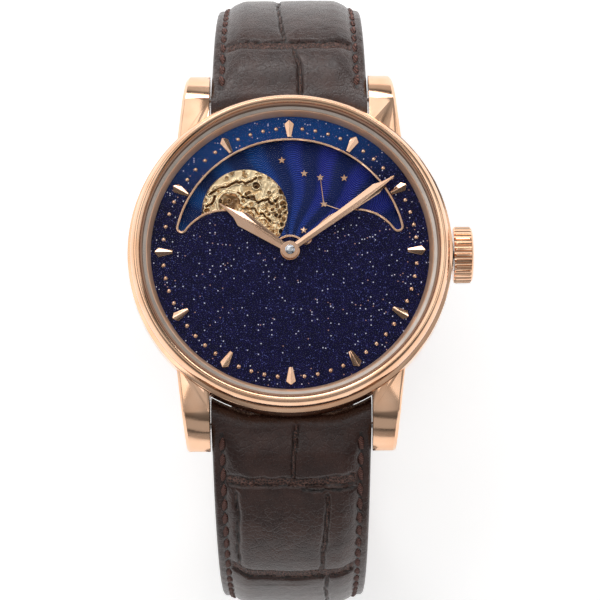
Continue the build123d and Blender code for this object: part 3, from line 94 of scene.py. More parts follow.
class Make:  # adds nodes to one material, or to the world
    def __init__(self, name, owner=None, space="Object"):
        self.material = owner or bpy.data.materials.new(name)
        self.material.use_nodes = True
        self.tree = self.material.node_tree
        self.shader = self.tree.nodes.get("Principled BSDF")
        self.spot = self.node("ShaderNodeTexCoord", out=space)  # where on the piece

    def node(self, kind, settings=None, values=None, out=0):
        made = self.tree.nodes.new(kind)
        for name, value in (settings or {}).items():
            setattr(made, name, value)
        self.feed(made.inputs, values or {})
        return Wire(self, made.outputs[out])

    def feed(self, inputs, values):
        for name, value in values.items():
            if isinstance(value, Wire):
                self.tree.links.new(value.socket, inputs[name])
            else:
                inputs[name].default_value = value

    def axes(self, vector=None):
        split = self.node("ShaderNodeSeparateXYZ", {}, {0: vector or self.spot})
        parts = split.socket.node.outputs
        return [Wire(self, parts[axis]) for axis in range(3)]

    def noise(self, scale, detail=3.0, rough=0.5, vector=None):  # scales count in a metre
        values = {"Vector": vector or self.spot, "Scale": scale, "Detail": detail, "Roughness": rough}
        return self.node("ShaderNodeTexNoise", {}, values)

    def cells(self, scale, feature="F1", out="Distance", space="3D"):
        settings = {"voronoi_dimensions": space, "feature": feature}
        return self.node("ShaderNodeTexVoronoi", settings, {"Vector": self.spot, "Scale": scale}, out)

    def mix(self, share, *colours):
        first, second = (end if isinstance(end, Wire) else (*end, 1.0) for end in colours)
        return self.node("ShaderNodeMix", {"data_type": "RGBA"}, {0: share, 6: first, 7: second}, 2)

    def ray(self, kind):
        return self.node("ShaderNodeLightPath", out=f"Is {kind} Ray")

    def join(self, x, y, z=0.0):
        return self.node("ShaderNodeCombineXYZ", {}, {0: x, 1: y, 2: z})

    def flatReach(self, x, y):  # distance from the axis of the hands
        flat = self.join(x, y)
        return self.node("ShaderNodeVectorMath", {"operation": "LENGTH"}, {0: flat}, "Value")

    def mark(self, name):  # a value stored with the mesh
        return self.node("ShaderNodeAttribute", {"attribute_name": name}, out="Fac")

    def ramp(self, value, stops):  # grey tones
        made = self.node("ShaderNodeValToRGB", {}, {0: value})
        elements = made.socket.node.color_ramp.elements
        while len(elements) < len(stops):
            elements.new(0.5)
        for element, (position, tone) in zip(elements, stops):
            element.position = position
            element.color = (tone, tone, tone, 1.0)
        return made

    def bump(self, height, distance):
        return self.node("ShaderNodeBump", {}, {"Height": height, "Distance": distance})

    def shown(self, surface):  # another shader in place of the usual one
        self.tree.nodes.remove(self.shader)
        self.tree.links.new(surface.socket, self.tree.nodes["Material Output"].inputs["Surface"])
        return self.material

    def finish(self, **values):
        named = {socketNames.get(name, name): value for name, value in values.items()}
        self.feed(self.shader.inputs, named)
        return self.material


# Materials

gold = {
    "bright": (0.96, 0.62, 0.42),
    "deep": (0.90, 0.53, 0.33),
    "roughness": 0.09,
    "brushedRoughness": 0.3,
    "scratch": 0.004 * mm,
}


def roseGold(name, brushed=False, metal=1.0):
    make = Make(name)
    x, y, z = make.axes()
    cloud = make.noise(260.0, 2.0)
    fine = make.noise(9000.0, 3.0, 0.6)
    base = make.mix(cloud.between(0.35, 0.7), gold["bright"], gold["deep"])
    if brushed:
        strokes = make.noise(16000.0, 2.0, vector=make.join(x * 0.03, y * 0.03, z))
        rough = gold["brushedRoughness"] + strokes * 0.16
        normal = make.bump(strokes, gold["scratch"] * 3)
    else:
        rough = gold["roughness"] + fine * 0.05
        normal = make.bump(fine, gold["scratch"])
    return make.finish(Base=base, Metallic=metal, Roughness=rough, Normal=normal)


def steel(name, colour=(0.72, 0.73, 0.75), rough=0.18, turned=0.0):
    make = Make(name)
    fine = make.noise(7000.0, 3.0, 0.6)
    cloud = make.noise(500.0, 2.0)
    base = make.mix(cloud.between(0.3, 0.75), colour, tuple(part * 0.86 for part in colour))
    rough = rough + fine * (0.1 + turned)
    return make.finish(Base=base, Metallic=1.0, Roughness=rough, Normal=make.bump(fine, 0.004 * mm))


nickelFinish = {
    "colour": (0.78, 0.77, 0.75),
    "stripeEdge": (0.60, 0.59, 0.57),
    "spotEdge": (0.55, 0.54, 0.52),
    "stripe": 1.5 * mm,
    "spot": 0.75 * mm,
}


def nickelStripes(name):  # bridges: slanting stripes with a fine grain along them
    make = Make(name)
    x, y, z = make.axes()
    over = x * 0.8 + y * 0.6
    wave = (over * (tau / nickelFinish["stripe"])).sine()
    strokes = make.noise(15000.0, 2.0, vector=make.join(over, (y * 0.8 - x * 0.6) * 0.06, z))
    base = make.mix(wave.between(-0.9, 0.9), nickelFinish["colour"], nickelFinish["stripeEdge"])
    normal = make.bump(wave * 0.5 + strokes * 0.2, 0.02 * mm)
    return make.finish(Base=base, Metallic=1.0, Roughness=0.22 + strokes * 0.18, Normal=normal)


def nickelSpots(name):  # main plate: small overlapping turned spots
    make = Make(name)
    spots = make.cells(1 / nickelFinish["spot"])
    rings = (spots * 60.0).sine()
    base = make.mix(spots.between(0.1, 0.7), nickelFinish["colour"], nickelFinish["spotEdge"])
    normal = make.bump(rings * 0.3 + spots, 0.02 * mm)
    return make.finish(Base=base, Metallic=1.0, Roughness=0.3 + spots * 0.12, Normal=normal)


def brass(name, light, deep):
    make = Make(name)
    x, y, z = make.axes()
    strokes = make.noise(14000.0, 2.0, vector=make.join(x, y * 0.05, z))
    base = make.mix(strokes.between(0.3, 0.7), light, deep)
    normal = make.bump(strokes, 0.01 * mm)
    return make.finish(Base=base, Metallic=1.0, Roughness=0.2 + strokes * 0.2, Normal=normal)


def ruby(name):
    make = Make(name)
    cloud = make.noise(2500.0, 2.0)
    base = make.mix(cloud, (0.62, 0.02, 0.10), (0.85, 0.08, 0.22))
    return make.finish(Base=base, Roughness=0.06 + cloud * 0.05, Coat=0.8)


def blueSteel(name):
    make = Make(name)
    cloud = make.noise(1800.0, 2.0)
    fine = make.noise(12000.0, 2.0)
    base = make.mix(cloud.between(0.3, 0.7), (0.02, 0.05, 0.42), (0.06, 0.10, 0.62))
    normal = make.bump(fine, 0.004 * mm)
    return make.finish(Base=base, Metallic=0.9, Roughness=0.16 + fine * 0.12, Normal=normal)


def rubber(name, dark, light):  # rubber or nylon of the gaskets
    make = Make(name)
    fine = make.noise(6000.0, 3.0)
    base = make.mix(fine, dark, light)
    return make.finish(Base=base, Roughness=0.6 + fine * 0.25, Normal=make.bump(fine, 0.01 * mm))


skyGlass = {
    "deep": (0.0043, 0.0040, 0.0255),
    "haze": (0.0075, 0.0066, 0.039),
    # the colour of a painted sheen laid over the glass, not the glass's own colour
    "paintedSheen": (0.007, 0.060, 0.235),
    "sheenOutwards": (10.0 * mm, 16.5 * mm),  # painted sheen: lighter outwards, and towards twelve o'clock
    "sheenUpwards": (7.5 * mm, 16.5 * mm),
    # cells per metre, share of cells left empty, size of a flake in its cell, colour
    "flakes": [
        (6200.0, 0.76, 0.33, (0.024, 0.022, 0.13)),
        (4400.0, 0.925, 0.26, (0.10, 0.12, 0.38)),
        (2900.0, 0.962, 0.22, (0.80, 0.80, 0.95)),
        (3100.0, 0.987, 0.22, (0.60, 0.34, 0.28)),
    ],
}


def nightGlass(name):  # deep blue glass full of fine copper and silver flakes
    make = Make(name)
    x, y, z = make.axes()
    reach = make.flatReach(x, y)
    # painted sheen: the mask that lightens the glass towards its rim and twelve o'clock
    glow = reach.between(*skyGlass["sheenOutwards"]) * (y - x * 0.12).between(*skyGlass["sheenUpwards"])
    cloud = make.noise(900.0, 4.0, 0.65)
    base = make.mix(cloud.between(0.42, 0.66), skyGlass["deep"], skyGlass["haze"])
    base = make.mix(glow, base, skyGlass["paintedSheen"])
    for scale, share, size, colour in skyGlass["flakes"]:
        spot = make.cells(scale, space="2D").sum("LESS_THAN", size)
        tint = make.axes(make.cells(scale, out="Color", space="2D"))[0]
        base = make.mix(spot * tint.sum("GREATER_THAN", share), base, colour)
    rough = make.noise(5000.0, 2.0) * 0.1 + 0.25
    return make.finish(Base=base, Roughness=rough, Shine=0.1)


sunburst = {
    "folds": 18.0,  # rays in a full turn
    "line": 0.262 * mm,  # from one wave line to the next
    "sway": 0.34 / 9.0,  # how far a ray bends the lines, as a share of their radius
    "deep": (0.0015, 0.010, 0.065),
    "left": (0.002, 0.085, 0.33),
    "right": (0.026, 0.036, 0.37),
}


def waveRays(name):  # blue lacquer over fine wavy rings that fold into broad rays
    make = Make(name)
    x, y, z = make.axes()
    reach = make.flatReach(x, y)
    turn = y.sum("ARCTAN2", x)
    bend = (reach * (0.5 / mm) - 2.2).sine() * 1.1
    folds = (turn * sunburst["folds"] + bend).sine()
    waved = reach + folds * reach * sunburst["sway"]
    lines = (waved * (tau / sunburst["line"])).sine()
    cloud = make.noise(160.0, 2.0)
    tint = make.mix((x + y * 0.2).between(-5.0 * mm, 7.0 * mm), sunburst["left"], sunburst["right"])
    # painted sheen: the broad rays are lighter and darker by turns, with a little random cloud
    paintedSheen = folds.between(-0.75, 0.95) * 0.75 + cloud * 0.2
    base = make.mix(paintedSheen * (lines * 0.62 + 0.62), sunburst["deep"], tint)
    normal = make.bump(lines * 0.7 + folds * 0.5, 0.03 * mm)
    return make.finish(Base=base, Metallic=0.25, Roughness=0.34, Normal=normal, Shine=0.2)


def clearGlass(name):  # a coated crystal: a very faint reflection over a see-through sheet
    make = Make(name)
    rim = make.node("ShaderNodeFresnel", {}, {"IOR": 1.45})
    smear = make.noise(120.0, 2.0)
    clear = make.node("ShaderNodeBsdfTransparent", {}, {0: (0.985, 0.99, 1.0, 1.0)})
    gloss = make.node("ShaderNodeBsdfGlossy", {}, {"Color": (1.0, 1.0, 1.0, 1.0), "Roughness": 0.02})
    both = make.node("ShaderNodeMixShader", {}, {0: rim * (0.05 + smear * 0.02), 1: clear, 2: gloss})
    return make.shown(both)


hide = {
    "dark": (0.027, 0.0095, 0.0070),
    "mid": (0.052, 0.0200, 0.0140),
    "worn": (0.090, 0.047, 0.036),
    # crease floors between the ridges: painted shade
    "crease": (0.022, 0.009, 0.006),
    "ridge": (0.190, 0.090, 0.068),
    # near-black: painted shade at the crease edges and along the stitch grooves; on the flanks, their
    # dark inked edge
    "lip": (0.004, 0.0025, 0.002),
    "wrinkle": 0.08 * mm,
}


def scaledLeather(name):  # redder ridges in the creases over darker floors, black lips, paler rubbed tops; the dark floors and the black lips are painted shade
    make = Make(name)
    warp = make.noise(300.0, 3.0)
    crack = make.cells(1250.0, "DISTANCE_TO_EDGE")
    small = make.cells(3800.0, "DISTANCE_TO_EDGE")
    folds = make.cells(2900.0, "DISTANCE_TO_EDGE")
    grain = make.noise(5200.0, 4.0, 0.6)
    crease, lip = make.mark("crease"), make.mark("lip")
    base = make.mix(warp.between(0.3, 0.7), hide["dark"], hide["mid"])
    base = make.mix(grain.between(0.5, 0.8) * warp * 0.7, base, hide["worn"])
    base = make.mix((1 - crack.between(0.0, 0.07)) * 0.4, base, hide["dark"])
    # in the creases: paler redder ridges over dark floors; the dark floors, lowered in height too, are
    # painted shade
    ridged = make.mix(1 - folds.between(0.02, 0.16), hide["crease"], hide["ridge"])
    base = make.mix(crease.between(0.2, 0.8), base, ridged)
    # painted shade at the crease edges and stitch grooves, and the flanks' inked edge
    base = make.mix(lip.between(0.25, 0.8) * 0.9, base, hide["lip"])
    height = grain * 0.16 + crack.between(0.0, 0.12) * 0.22 + small.between(0.0, 0.2) * 0.1
    height = height - crease * folds.between(0.0, 0.2) * 0.9
    rough = 0.2 + grain * 0.12 + crease * 0.2
    normal = make.bump(height, hide["wrinkle"])
    return make.finish(Base=base, Roughness=rough, Normal=normal, Shine=0.66)


def softLining(name):
    make = Make(name)
    pores = make.cells(4200.0, "DISTANCE_TO_EDGE")
    cloud = make.noise(420.0, 3.0)
    base = make.mix(cloud, (0.16, 0.085, 0.05), (0.22, 0.125, 0.075))
    normal = make.bump(pores.between(0.0, 0.3), 0.03 * mm)
    return make.finish(Base=base, Roughness=0.7 + cloud * 0.1, Normal=normal)


def waxedThread(name):
    make = Make(name)
    x, y, z = make.axes()
    twist = ((x + y + z) * (tau / (0.35 * mm))).sine()
    fluff = make.noise(9000.0, 3.0)
    base = make.mix(twist.between(-0.8, 0.8), (0.045, 0.018, 0.014), (0.24, 0.105, 0.082))
    normal = make.bump(twist + fluff * 0.3, 0.05 * mm)
    return make.finish(Base=base, Roughness=0.55 + fluff * 0.2, Normal=normal)


def reliefGold(name):  # darker in the hollows of the moons, pale on their ridges
    make = Make(name)
    relief = make.mark("relief")
    grit = make.noise(2600.0, 5.0, 0.7)
    pocks = make.cells(2300.0)
    base = make.mix(relief.between(0.15, 0.5), (0.17, 0.085, 0.036), (0.68, 0.43, 0.20))
    base = make.mix(relief.between(0.42, 0.72), base, (0.95, 0.74, 0.45))
    base = make.mix(grit.between(0.52, 0.75) * 0.4, base, (0.98, 0.84, 0.60))
    normal = make.bump(relief * 2.2 + grit * 0.5 + pocks * 0.3, 0.1 * mm)
    return make.finish(Base=base, Metallic=1.0, Roughness=0.36 - relief * 0.12, Normal=normal)


finishes = {
    "gold": roseGold("roseGold"),
    "goldSatin": roseGold("roseGoldSatin", brushed=True),
    "goldPale": roseGold("roseGoldPale", brushed=True, metal=0.55),
    "steel": steel("steel"),
    "darkSteel": steel("darkSteel", (0.30, 0.27, 0.25), 0.25),
    # for the ring that paints the reflection in the crystal's edge
    "edgeReflectionSteel": steel("edgeReflectionSteel", (0.60, 0.51, 0.44), 0.24),
    "wheelSteel": steel("wheelSteel", (0.66, 0.67, 0.69), 0.22, 0.08),
    "nickel": nickelStripes("nickelStripes"),
    "plate": nickelSpots("nickelSpots"),
    "brass": brass("brass", (0.86, 0.66, 0.30), (0.74, 0.53, 0.20)),
    "yellowGold": brass("yellowGold", (0.92, 0.68, 0.36), (0.84, 0.58, 0.28)),
    "relief": reliefGold("reliefGold"),
    "ruby": ruby("ruby"),
    "blueSteel": blueSteel("blueSteel"),
    "rubber": rubber("rubber", (0.02, 0.02, 0.021), (0.05, 0.05, 0.05)),
    "nylon": rubber("nylon", (0.30, 0.17, 0.11), (0.42, 0.25, 0.17)),
    "dial": nightGlass("nightGlass"),
    "sky": waveRays("waveRays"),
    "crystal": clearGlass("clearCrystal"),
    "leather": scaledLeather("scaledLeather"),
    "lining": softLining("softLining"),
    "thread": waxedThread("waxedThread"),
}
print("materials made")


# Modelling helpers

def select(*pieces):
    bpy.ops.object.select_all(action="DESELECT")
    for piece in pieces:
        piece.select_set(True)
    bpy.context.view_layer.objects.active = pieces[0]


def edit(piece, **steps):  # mesh operators with their settings, each one on the whole mesh
    select(piece)
    bpy.ops.object.mode_set(mode="EDIT")
    for name, settings in steps.items():
        bpy.ops.mesh.select_all(action="SELECT")
        getattr(bpy.ops.mesh, name)(**settings)
    bpy.ops.object.mode_set(mode="OBJECT")


def settle(piece):
    select(piece)
    bpy.ops.object.transform_apply()


def smooth(piece, angle):
    select(piece)
    bpy.ops.object.shade_smooth_by_angle(angle=radians(angle))


def applied(piece, kind, **settings):
    select(piece)
    added = piece.modifiers.new(kind.title(), kind)
    for name, value in settings.items():
        setattr(added, name, value)
    bpy.ops.object.modifier_apply(modifier=added.name)


def paint(data, finish):
    data.materials.clear()
    data.materials.append(finishes[finish])


def put(piece, name, body, finish, stands=()):  # hands a piece over as a subcomponent
    piece.name = name
    piece.data.name = name
    paint(piece.data, finish)
    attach(piece, body)
    if stands:
        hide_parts(*stands)


def twin(piece):  # a copy with its own mesh
    copy = piece.copy()
    copy.data = piece.data.copy()
    bpy.context.collection.objects.link(copy)
    return copy


def joined(pieces):
    select(*pieces)
    bpy.ops.object.join()
    return pieces[0]


outwards = {"inside": False}
seamGap = {"threshold": 0.004 * mm}  # closes a rolled sheet along its seam


def lathe(profile, angle, steps=144):  # closed profile as (radius, height) in millimetres
    bpy.ops.mesh.primitive_circle_add(vertices=len(profile))
    piece = bpy.context.object
    for vertex, (reach, height) in zip(piece.data.vertices, profile):
        vertex.co = (reach * mm, 0, height * mm)
    edit(
        piece,
        spin={"steps": steps, "angle": tau, "center": (0, 0, 0), "axis": (0, 0, 1)},
        remove_doubles={"threshold": 0.002 * mm},
        normals_make_consistent=outwards,
    )
    smooth(piece, angle)
    return piece


def sheet(columns, rows):  # a flat grid of points, rolled or bent later
    bpy.ops.mesh.primitive_grid_add(
        x_subdivisions=columns - 1, y_subdivisions=rows - 1, size=2 * mm, calc_uvs=False
    )
    return bpy.context.object


def soften(pieces):  # copies CAD nodes and rounds their edges
    flat = {"angle_limit": radians(0.4)}
    for node, (name, body, finish, width, steps, fold) in pieces.items():
        piece = bpy.data.objects.new(node + "Fine", nodes[node].data.copy())
        bpy.context.collection.objects.link(piece)
        edit(piece, remove_doubles={"threshold": 0.001 * mm}, dissolve_limited=flat)
        settings = {"limit_method": "ANGLE", "angle_limit": radians(fold), "harden_normals": True}
        applied(piece, "BEVEL", width=width * mm, segments=steps, **settings)
        smooth(piece, fold)
        put(piece, name, body, finish, [node])


def curveSteps(start, end, bulge, count=6):  # points on a gentle arc of a profile
    found = [start]
    for step in range(1, count):
        share = step / count
        lift = 4 * share * (1 - share)
        found.append(tuple(a + (b - a) * share + out * lift for a, b, out in zip(start, end, bulge)))
    return found + [end]


def bell(value, width):
    return exp(-((value / width) ** 2))


def bumps(*spot):  # smooth noise from -1 to 1
    return noise.noise(Vector(spot))


def ease(low, high, value):  # 0 at low, 1 at high and smooth in between
    share = max(0.0, min(1.0, (value - low) / (high - low)))
    return share * share * (3 - 2 * share)


def lineGap(points, x, y):  # distance to a bent line, if it is under nine
    best = 9.0
    for (ax, ay), (bx, by) in zip(points, points[1:]):
        dx, dy = bx - ax, by - ay
        share = max(0.0, min(1.0, ((x - ax) * dx + (y - ay) * dy) / (dx * dx + dy * dy)))
        best = min(best, hypot(x - ax - dx * share, y - ay - dy * share))
    return best


# The camera, floor and lamps

# millimetres and degrees; the camera leans from straight above and rolls a little
shot = {"aim": (1.23, -6.4, 7.0), "tilt": 11.0, "distance": 300.0, "roll": 0.45, "lens": 140.0}


def aimCamera():
    bpy.ops.object.camera_add()
    camera = bpy.context.object
    aim = Matrix.Translation(Vector(shot["aim"]) * mm)
    tilt = Matrix.Rotation(radians(shot["tilt"]), 4, "X")
    roll = Matrix.Rotation(-radians(shot["roll"]), 4, "Z")
    back = Matrix.Translation((0, 0, shot["distance"] * mm))
    camera.matrix_world = aim @ tilt @ roll @ back
    camera.data.lens = shot["lens"]
    camera.data.clip_start = 0.005
    camera.data.clip_end = 20
    bpy.context.scene.camera = camera


studio = {
    "floor": (0.93, 0.93, 0.93),
    "floorGlow": 0.42,
    "world": 0.34,
    # what metal sees: sine of the height above the floor, and tone
    "darkSide": [(0.0, 0.4), (0.18, 0.3), (0.30, 0.05), (0.72, 0.04), (0.90, 0.22), (1.0, 0.56)],
    "brightSide": [
        (0.0, 0.6), (0.24, 0.5), (0.32, 0.06), (0.42, 0.06),
        (0.58, 0.14), (0.82, 0.2), (0.95, 0.5), (1.0, 0.6),
    ],
    # place, size and power; each looks at the middle of the watch
    "lamps": [
        ((-0.32, 0.28, 0.44), (0.80, 0.66), 1.65),
        ((0.04, 0.56, 0.36), (0.70, 0.16), 1.35),
        ((0.40, 0.05, 0.38), (0.36, 0.56), 0.5),
        ((0.0, -0.46, 0.30), (0.80, 0.26), 0.25),
    ],
}


def lightStudio():
    bpy.ops.mesh.primitive_plane_add(size=3.0, location=(0, 0, cadBox[0][2] - 0.02 * mm))
    floor = bpy.context.object
    settle(floor)
    floor.name = "floor"
    make = Make("paleFloor")
    seen = (make.ray("Camera") + make.ray("Glossy") + make.ray("Transmission")).sum("MINIMUM", 1.0)
    matt = make.node("ShaderNodeBsdfDiffuse", {}, {"Color": (*studio["floor"], 1.0)})
    glow = make.node("ShaderNodeEmission", {}, {"Color": (1, 1, 1, 1), "Strength": studio["floorGlow"]})
    both = make.node("ShaderNodeAddShader", {}, {0: matt, 1: glow})
    pick = make.node("ShaderNodeMixShader", {}, {0: seen, 1: matt, 2: both})
    floor.data.materials.append(make.shown(pick))
    # white to the eye and through glass; metal sees bright walls, a dark band and a ceiling
    sky = Make("", bpy.data.worlds.new("studioWorld"), "Generated")
    bpy.context.scene.world = sky.material
    x, y, rise = sky.axes()
    walls = [sky.ramp(rise, studio[side]) for side in ("darkSide", "brightSide")]
    dome = sky.mix((y * 0.8 - x * 0.6).between(-0.4, 0.4), *walls)
    shade = sky.mix(sky.ray("Glossy"), (studio["world"],) * 3, dome)
    clear = (sky.ray("Camera") + sky.ray("Transmission")).sum("MINIMUM", 1.0)
    shade = sky.mix(clear, shade, (1.0, 1.0, 1.0))
    sky.tree.links.new(shade.socket, sky.tree.nodes["Background"].inputs["Color"])
    for spot, size, power in studio["lamps"]:
        bpy.ops.object.light_add(type="AREA", location=spot)
        lamp = bpy.context.object
        lamp.data.shape = "RECTANGLE"
        lamp.data.size, lamp.data.size_y = size
        lamp.data.energy = power
        lamp.rotation_euler = (-Vector(spot)).to_track_quat("-Z", "Y").to_euler()
    bpy.context.scene.view_settings.view_transform = "Standard"


aimCamera()
lightStudio()
print("camera, floor and lamps set")


# Case: bezel, crystal, inner flange, case middle and back

bezel = {"inner": 19.2, "outer": 20.5, "foot": 7.0, "top": 9.85, "crest": 20.0}


def makeBezel():
    inner, outer, foot, top, crest = bezel.values()
    profile = [(inner, foot), (outer, foot)]
    profile += curveSteps((outer, foot + 0.45), (crest - 0.05, top - 0.06), (0.27, 0.2), 8)
    profile += curveSteps((crest - 0.15, top - 0.01), (inner + 0.16, top - 0.16), (0.02, 0.06), 4)
    profile += [(inner + 0.03, top - 0.34), (inner, top - 0.42)]
    put(lathe(profile, 40, 180), "bezelRing", "case", "gold", ["bezel"])


crystal = {
    "edge": 18.98,  # radius
    "foot": 8.45,
    "edgeTop": 9.36,
    "bevel": 0.43,
    "bevelTop": 9.68,
    "dome": 0.85,
    # the bright polished edge seen through it, painted as a pale steel ring inside the glass, a painted
    # reflection: distances in from the edge, and heights
    "shine": [(0.44, 8.46), (0.04, 8.46), (0.04, 8.62), (0.44, 8.54)],
}


def makeCrystal():
    edge, foot, edgeTop, bevel, bevelTop, dome, shine = crystal.values()
    shoulder = edge - bevel
    profile = [(0, foot), (edge, foot), (edge, edgeTop), (shoulder, bevelTop)]
    for step in range(1, 13):
        share = 1 - step / 12
        profile.append((shoulder * share, bevelTop + dome * (1 - share**2)))
    put(lathe(profile, 20), "frontCrystal", "case", "crystal", ["crystal"])
    # painted reflection: a metal ring where the glass edge shines
    rim = [(edge - inward, height) for inward, height in shine]
    put(lathe(rim, 20), "crystalEdgeReflection", "case", "edgeReflectionSteel")


flange = {"inner": 18.0, "outer": 19.1, "foot": 7.0, "top": 8.44, "slope": 0.42}


def makeFlange():
    inner, outer, foot, top, slope = flange.values()
    profile = [(inner, foot), (outer, foot), (outer, top - 0.05)]
    profile += curveSteps((inner + slope, top - 0.03), (inner, foot + 0.2), (-0.02, 0.12), 6)
    put(lathe(profile, 35), "innerFlange", "case", "goldPale", ["flange_ring"])


# name, body, finish; width, steps and smallest fold in degrees of the softened edges
caseSoft = {
    "case_middle": ("caseMiddle", "case", "gold", 0.09, 3, 28),
    "case_back_ring": ("caseBackRing", "case", "goldSatin", 0.06, 2, 30),
}

makeBezel()
makeCrystal()
makeFlange()
soften(caseSoft)
print("case made")


# Dial: markers, dots, aperture rim, moon disc with its moons

dots = {"count": 60, "circle": 16.4, "radius": 0.27, "height": 0.13, "dialTop": 7.0}


def makeDots():  # low domes between the hour markers
    centre = (dots["circle"] * mm, 0, dots["dialTop"] * mm)
    bpy.ops.mesh.primitive_uv_sphere_add(
        segments=14, ring_count=10, radius=dots["radius"] * mm, location=centre
    )
    first = bpy.context.object
    first.scale = (1, 1, dots["height"] / dots["radius"])
    settle(first)
    cut = {"plane_co": (0, 0, centre[2]), "plane_no": (0, 0, 1), "clear_inner": True, "use_fill": True}
    edit(first, bisect=cut)
    smooth(first, 60)
    copies = []
    for number in range(dots["count"]):
        if number % 5:
            copies.append(twin(first))
            copies[-1].data.transform(Matrix.Rotation(tau * number / dots["count"], 4, "Z"))
    bpy.data.objects.remove(first)
    put(joined(copies), "minuteDomes", "case", "gold", ["minute_dots"])


moonFace = {
    "radius": 5.58,
    "orbit": 8.05,
    "angle": 136.5,  # place of the first moon on the disc, in degrees
    "foot": 6.25,
    "top": 6.43,
    "points": 151,
    "pits": 230,
    # dark plains as middle, radius and depth
    "seas": [
        (-2.0, 1.0, 1.55, 1.0),
        (0.5, -0.9, 0.8, 0.6),
        (-3.7, -1.6, 0.9, 0.6),
        (0.9, 2.6, 1.5, 0.35),
        (3.3, 0.6, 0.7, 0.6),
    ],
    "cracks": [
        [(-0.9, 2.4), (0.2, 1.7), (1.1, 1.9), (1.7, 1.1), (2.9, 1.5), (3.7, 1.0), (4.4, 1.7)],
        [(-0.6, 0.7), (0.4, 0.2), (1.2, 0.4), (1.9, -0.4), (2.6, -0.6), (3.3, -1.4)],
        [(-4.6, 2.2), (-3.6, 3.0), (-2.4, 3.3), (-1.1, 3.9), (0.2, 3.7), (1.4, 4.3)],
        [(-4.3, -0.5), (-3.0, -0.9), (-1.8, -0.6), (-0.9, -1.5), (0.3, -2.1), (0.9, -3.3)],
        [(-5.0, 0.6), (-4.2, 1.1), (-3.9, 2.0)],
    ],
}


def moonPits():  # small craters, most of them at the rough lower right
    random.seed(7)
    reach = moonFace["radius"]
    pits = []
    while len(pits) < moonFace["pits"]:
        x, y = random.uniform(-reach, reach), random.uniform(-reach, reach)
        rough = (x - y) / reach
        if hypot(x, y) < reach and random.random() < 0.25 + 0.6 * max(0, rough):
            pits.append((x, y, random.uniform(0.1, 0.34) + (0.2 if random.random() < 0.08 else 0)))
    return pits


def moonHeight(pits, x, y):  # 0 in the deepest hollow, 1 on the highest ridge
    rough = ease(-3.0, 4.0, x - y * 1.2)
    lift = 0.62 + 0.14 * bumps(x * 0.8, y * 0.8, 4.0)
    lift += (0.1 + 0.34 * rough) * bumps(x * 2.4, y * 2.4, 9.0)
    lift += 0.16 * rough * bumps(x * 5.0, y * 5.0, 2.0)
    for cx, cy, size, depth in moonFace["seas"]:
        away = hypot(x - cx, y - cy) / size + 0.07 * bumps(x, y, cx)
        if away < 1.5:
            lift += depth * (0.5 * bell(away - 1, 0.13) - 0.45 * (1 - min(1, away) ** 4))
    for cx, cy, size in pits:
        away = hypot(x - cx, y - cy) / size
        if away < 1.6:
            lift += 1.1 * size * (0.6 * bell(away - 1, 0.3) - max(0, 1 - away**2))
    wave = 0.25 * bumps(x * 1.6, y * 1.6, 7.0)
    for line in moonFace["cracks"]:
        away = lineGap(line, x + wave, y + wave)
        lift += 0.3 * bell(away - 0.24, 0.13) - 0.55 * bell(away, 0.1)
    return max(0.0, min(1.0, lift))


def makeMoons():
    reach, foot, top = moonFace["radius"], moonFace["foot"], moonFace["top"]
    pits = moonPits()
    first = sheet(moonFace["points"], moonFace["points"])
    relief = first.data.attributes.new("relief", "FLOAT", "POINT")
    for vertex in first.data.vertices:
        x, y = vertex.co.x / mm, vertex.co.y / mm
        # square to round, so that the grid ends in a clean rim
        x, y = x * sqrt(1 - y * y / 2) * reach, y * sqrt(1 - x * x / 2) * reach
        lift = moonHeight(pits, x, y)
        rim = max(0.0, min(1.0, (1 - hypot(x, y) / reach) / 0.03))
        relief.data[vertex.index].value = lift
        vertex.co = (x * mm, y * mm, (foot + (top - foot) * lift * rim) * mm)
    smooth(first, 80)
    copies = [first, twin(first)]
    for number, copy in enumerate(copies):
        turn = radians(moonFace["angle"] + 180 * number)
        shift = Vector((cos(turn), sin(turn), 0)) * moonFace["orbit"] * mm
        copy.data.transform(Matrix.Rotation(pi * number, 4, "Z"))
        copy.data.transform(Matrix.Translation(shift))
    put(joined(copies), "craterMoons", "moon_disc", "relief", ["moons"])


dialSoft = {
    "hour_markers": ("hourMarkers", "case", "gold", 0.04, 2, 25),
    "aperture_rim": ("apertureRim", "case", "gold", 0.05, 2, 25),
    "moon_stars": ("skyStars", "moon_disc", "gold", 0.02, 2, 25),
}

makeDots()
makeMoons()
soften(dialSoft)
print("dial made")


# Hands: ridged gold bars with softened edges

handSoft = {
    "hour_hand": ("hourHand", "hour_hand", "gold", 0.03, 2, 12),
    "minute_hand": ("minuteHand", "minute_hand", "gold", 0.03, 2, 12),
}
handPin = {"radius": 0.42, "skirt": 0.6, "foot": 8.2, "step": 8.31, "top": 8.43}


def makePin():
    reach, skirt, foot, step, top = handPin.values()
    profile = [(0, foot), (skirt, foot), (skirt, step)]
    profile += curveSteps((reach + 0.1, step + 0.03), (0.0, top + 0.07), (0.08, 0.04), 8)
    put(lathe(profile, 40, 48), "handPin", "minute_hand", "steel")


soften(handSoft)
makePin()
print("hands made")


# Straps: padded halves with scales, their stitches and lining

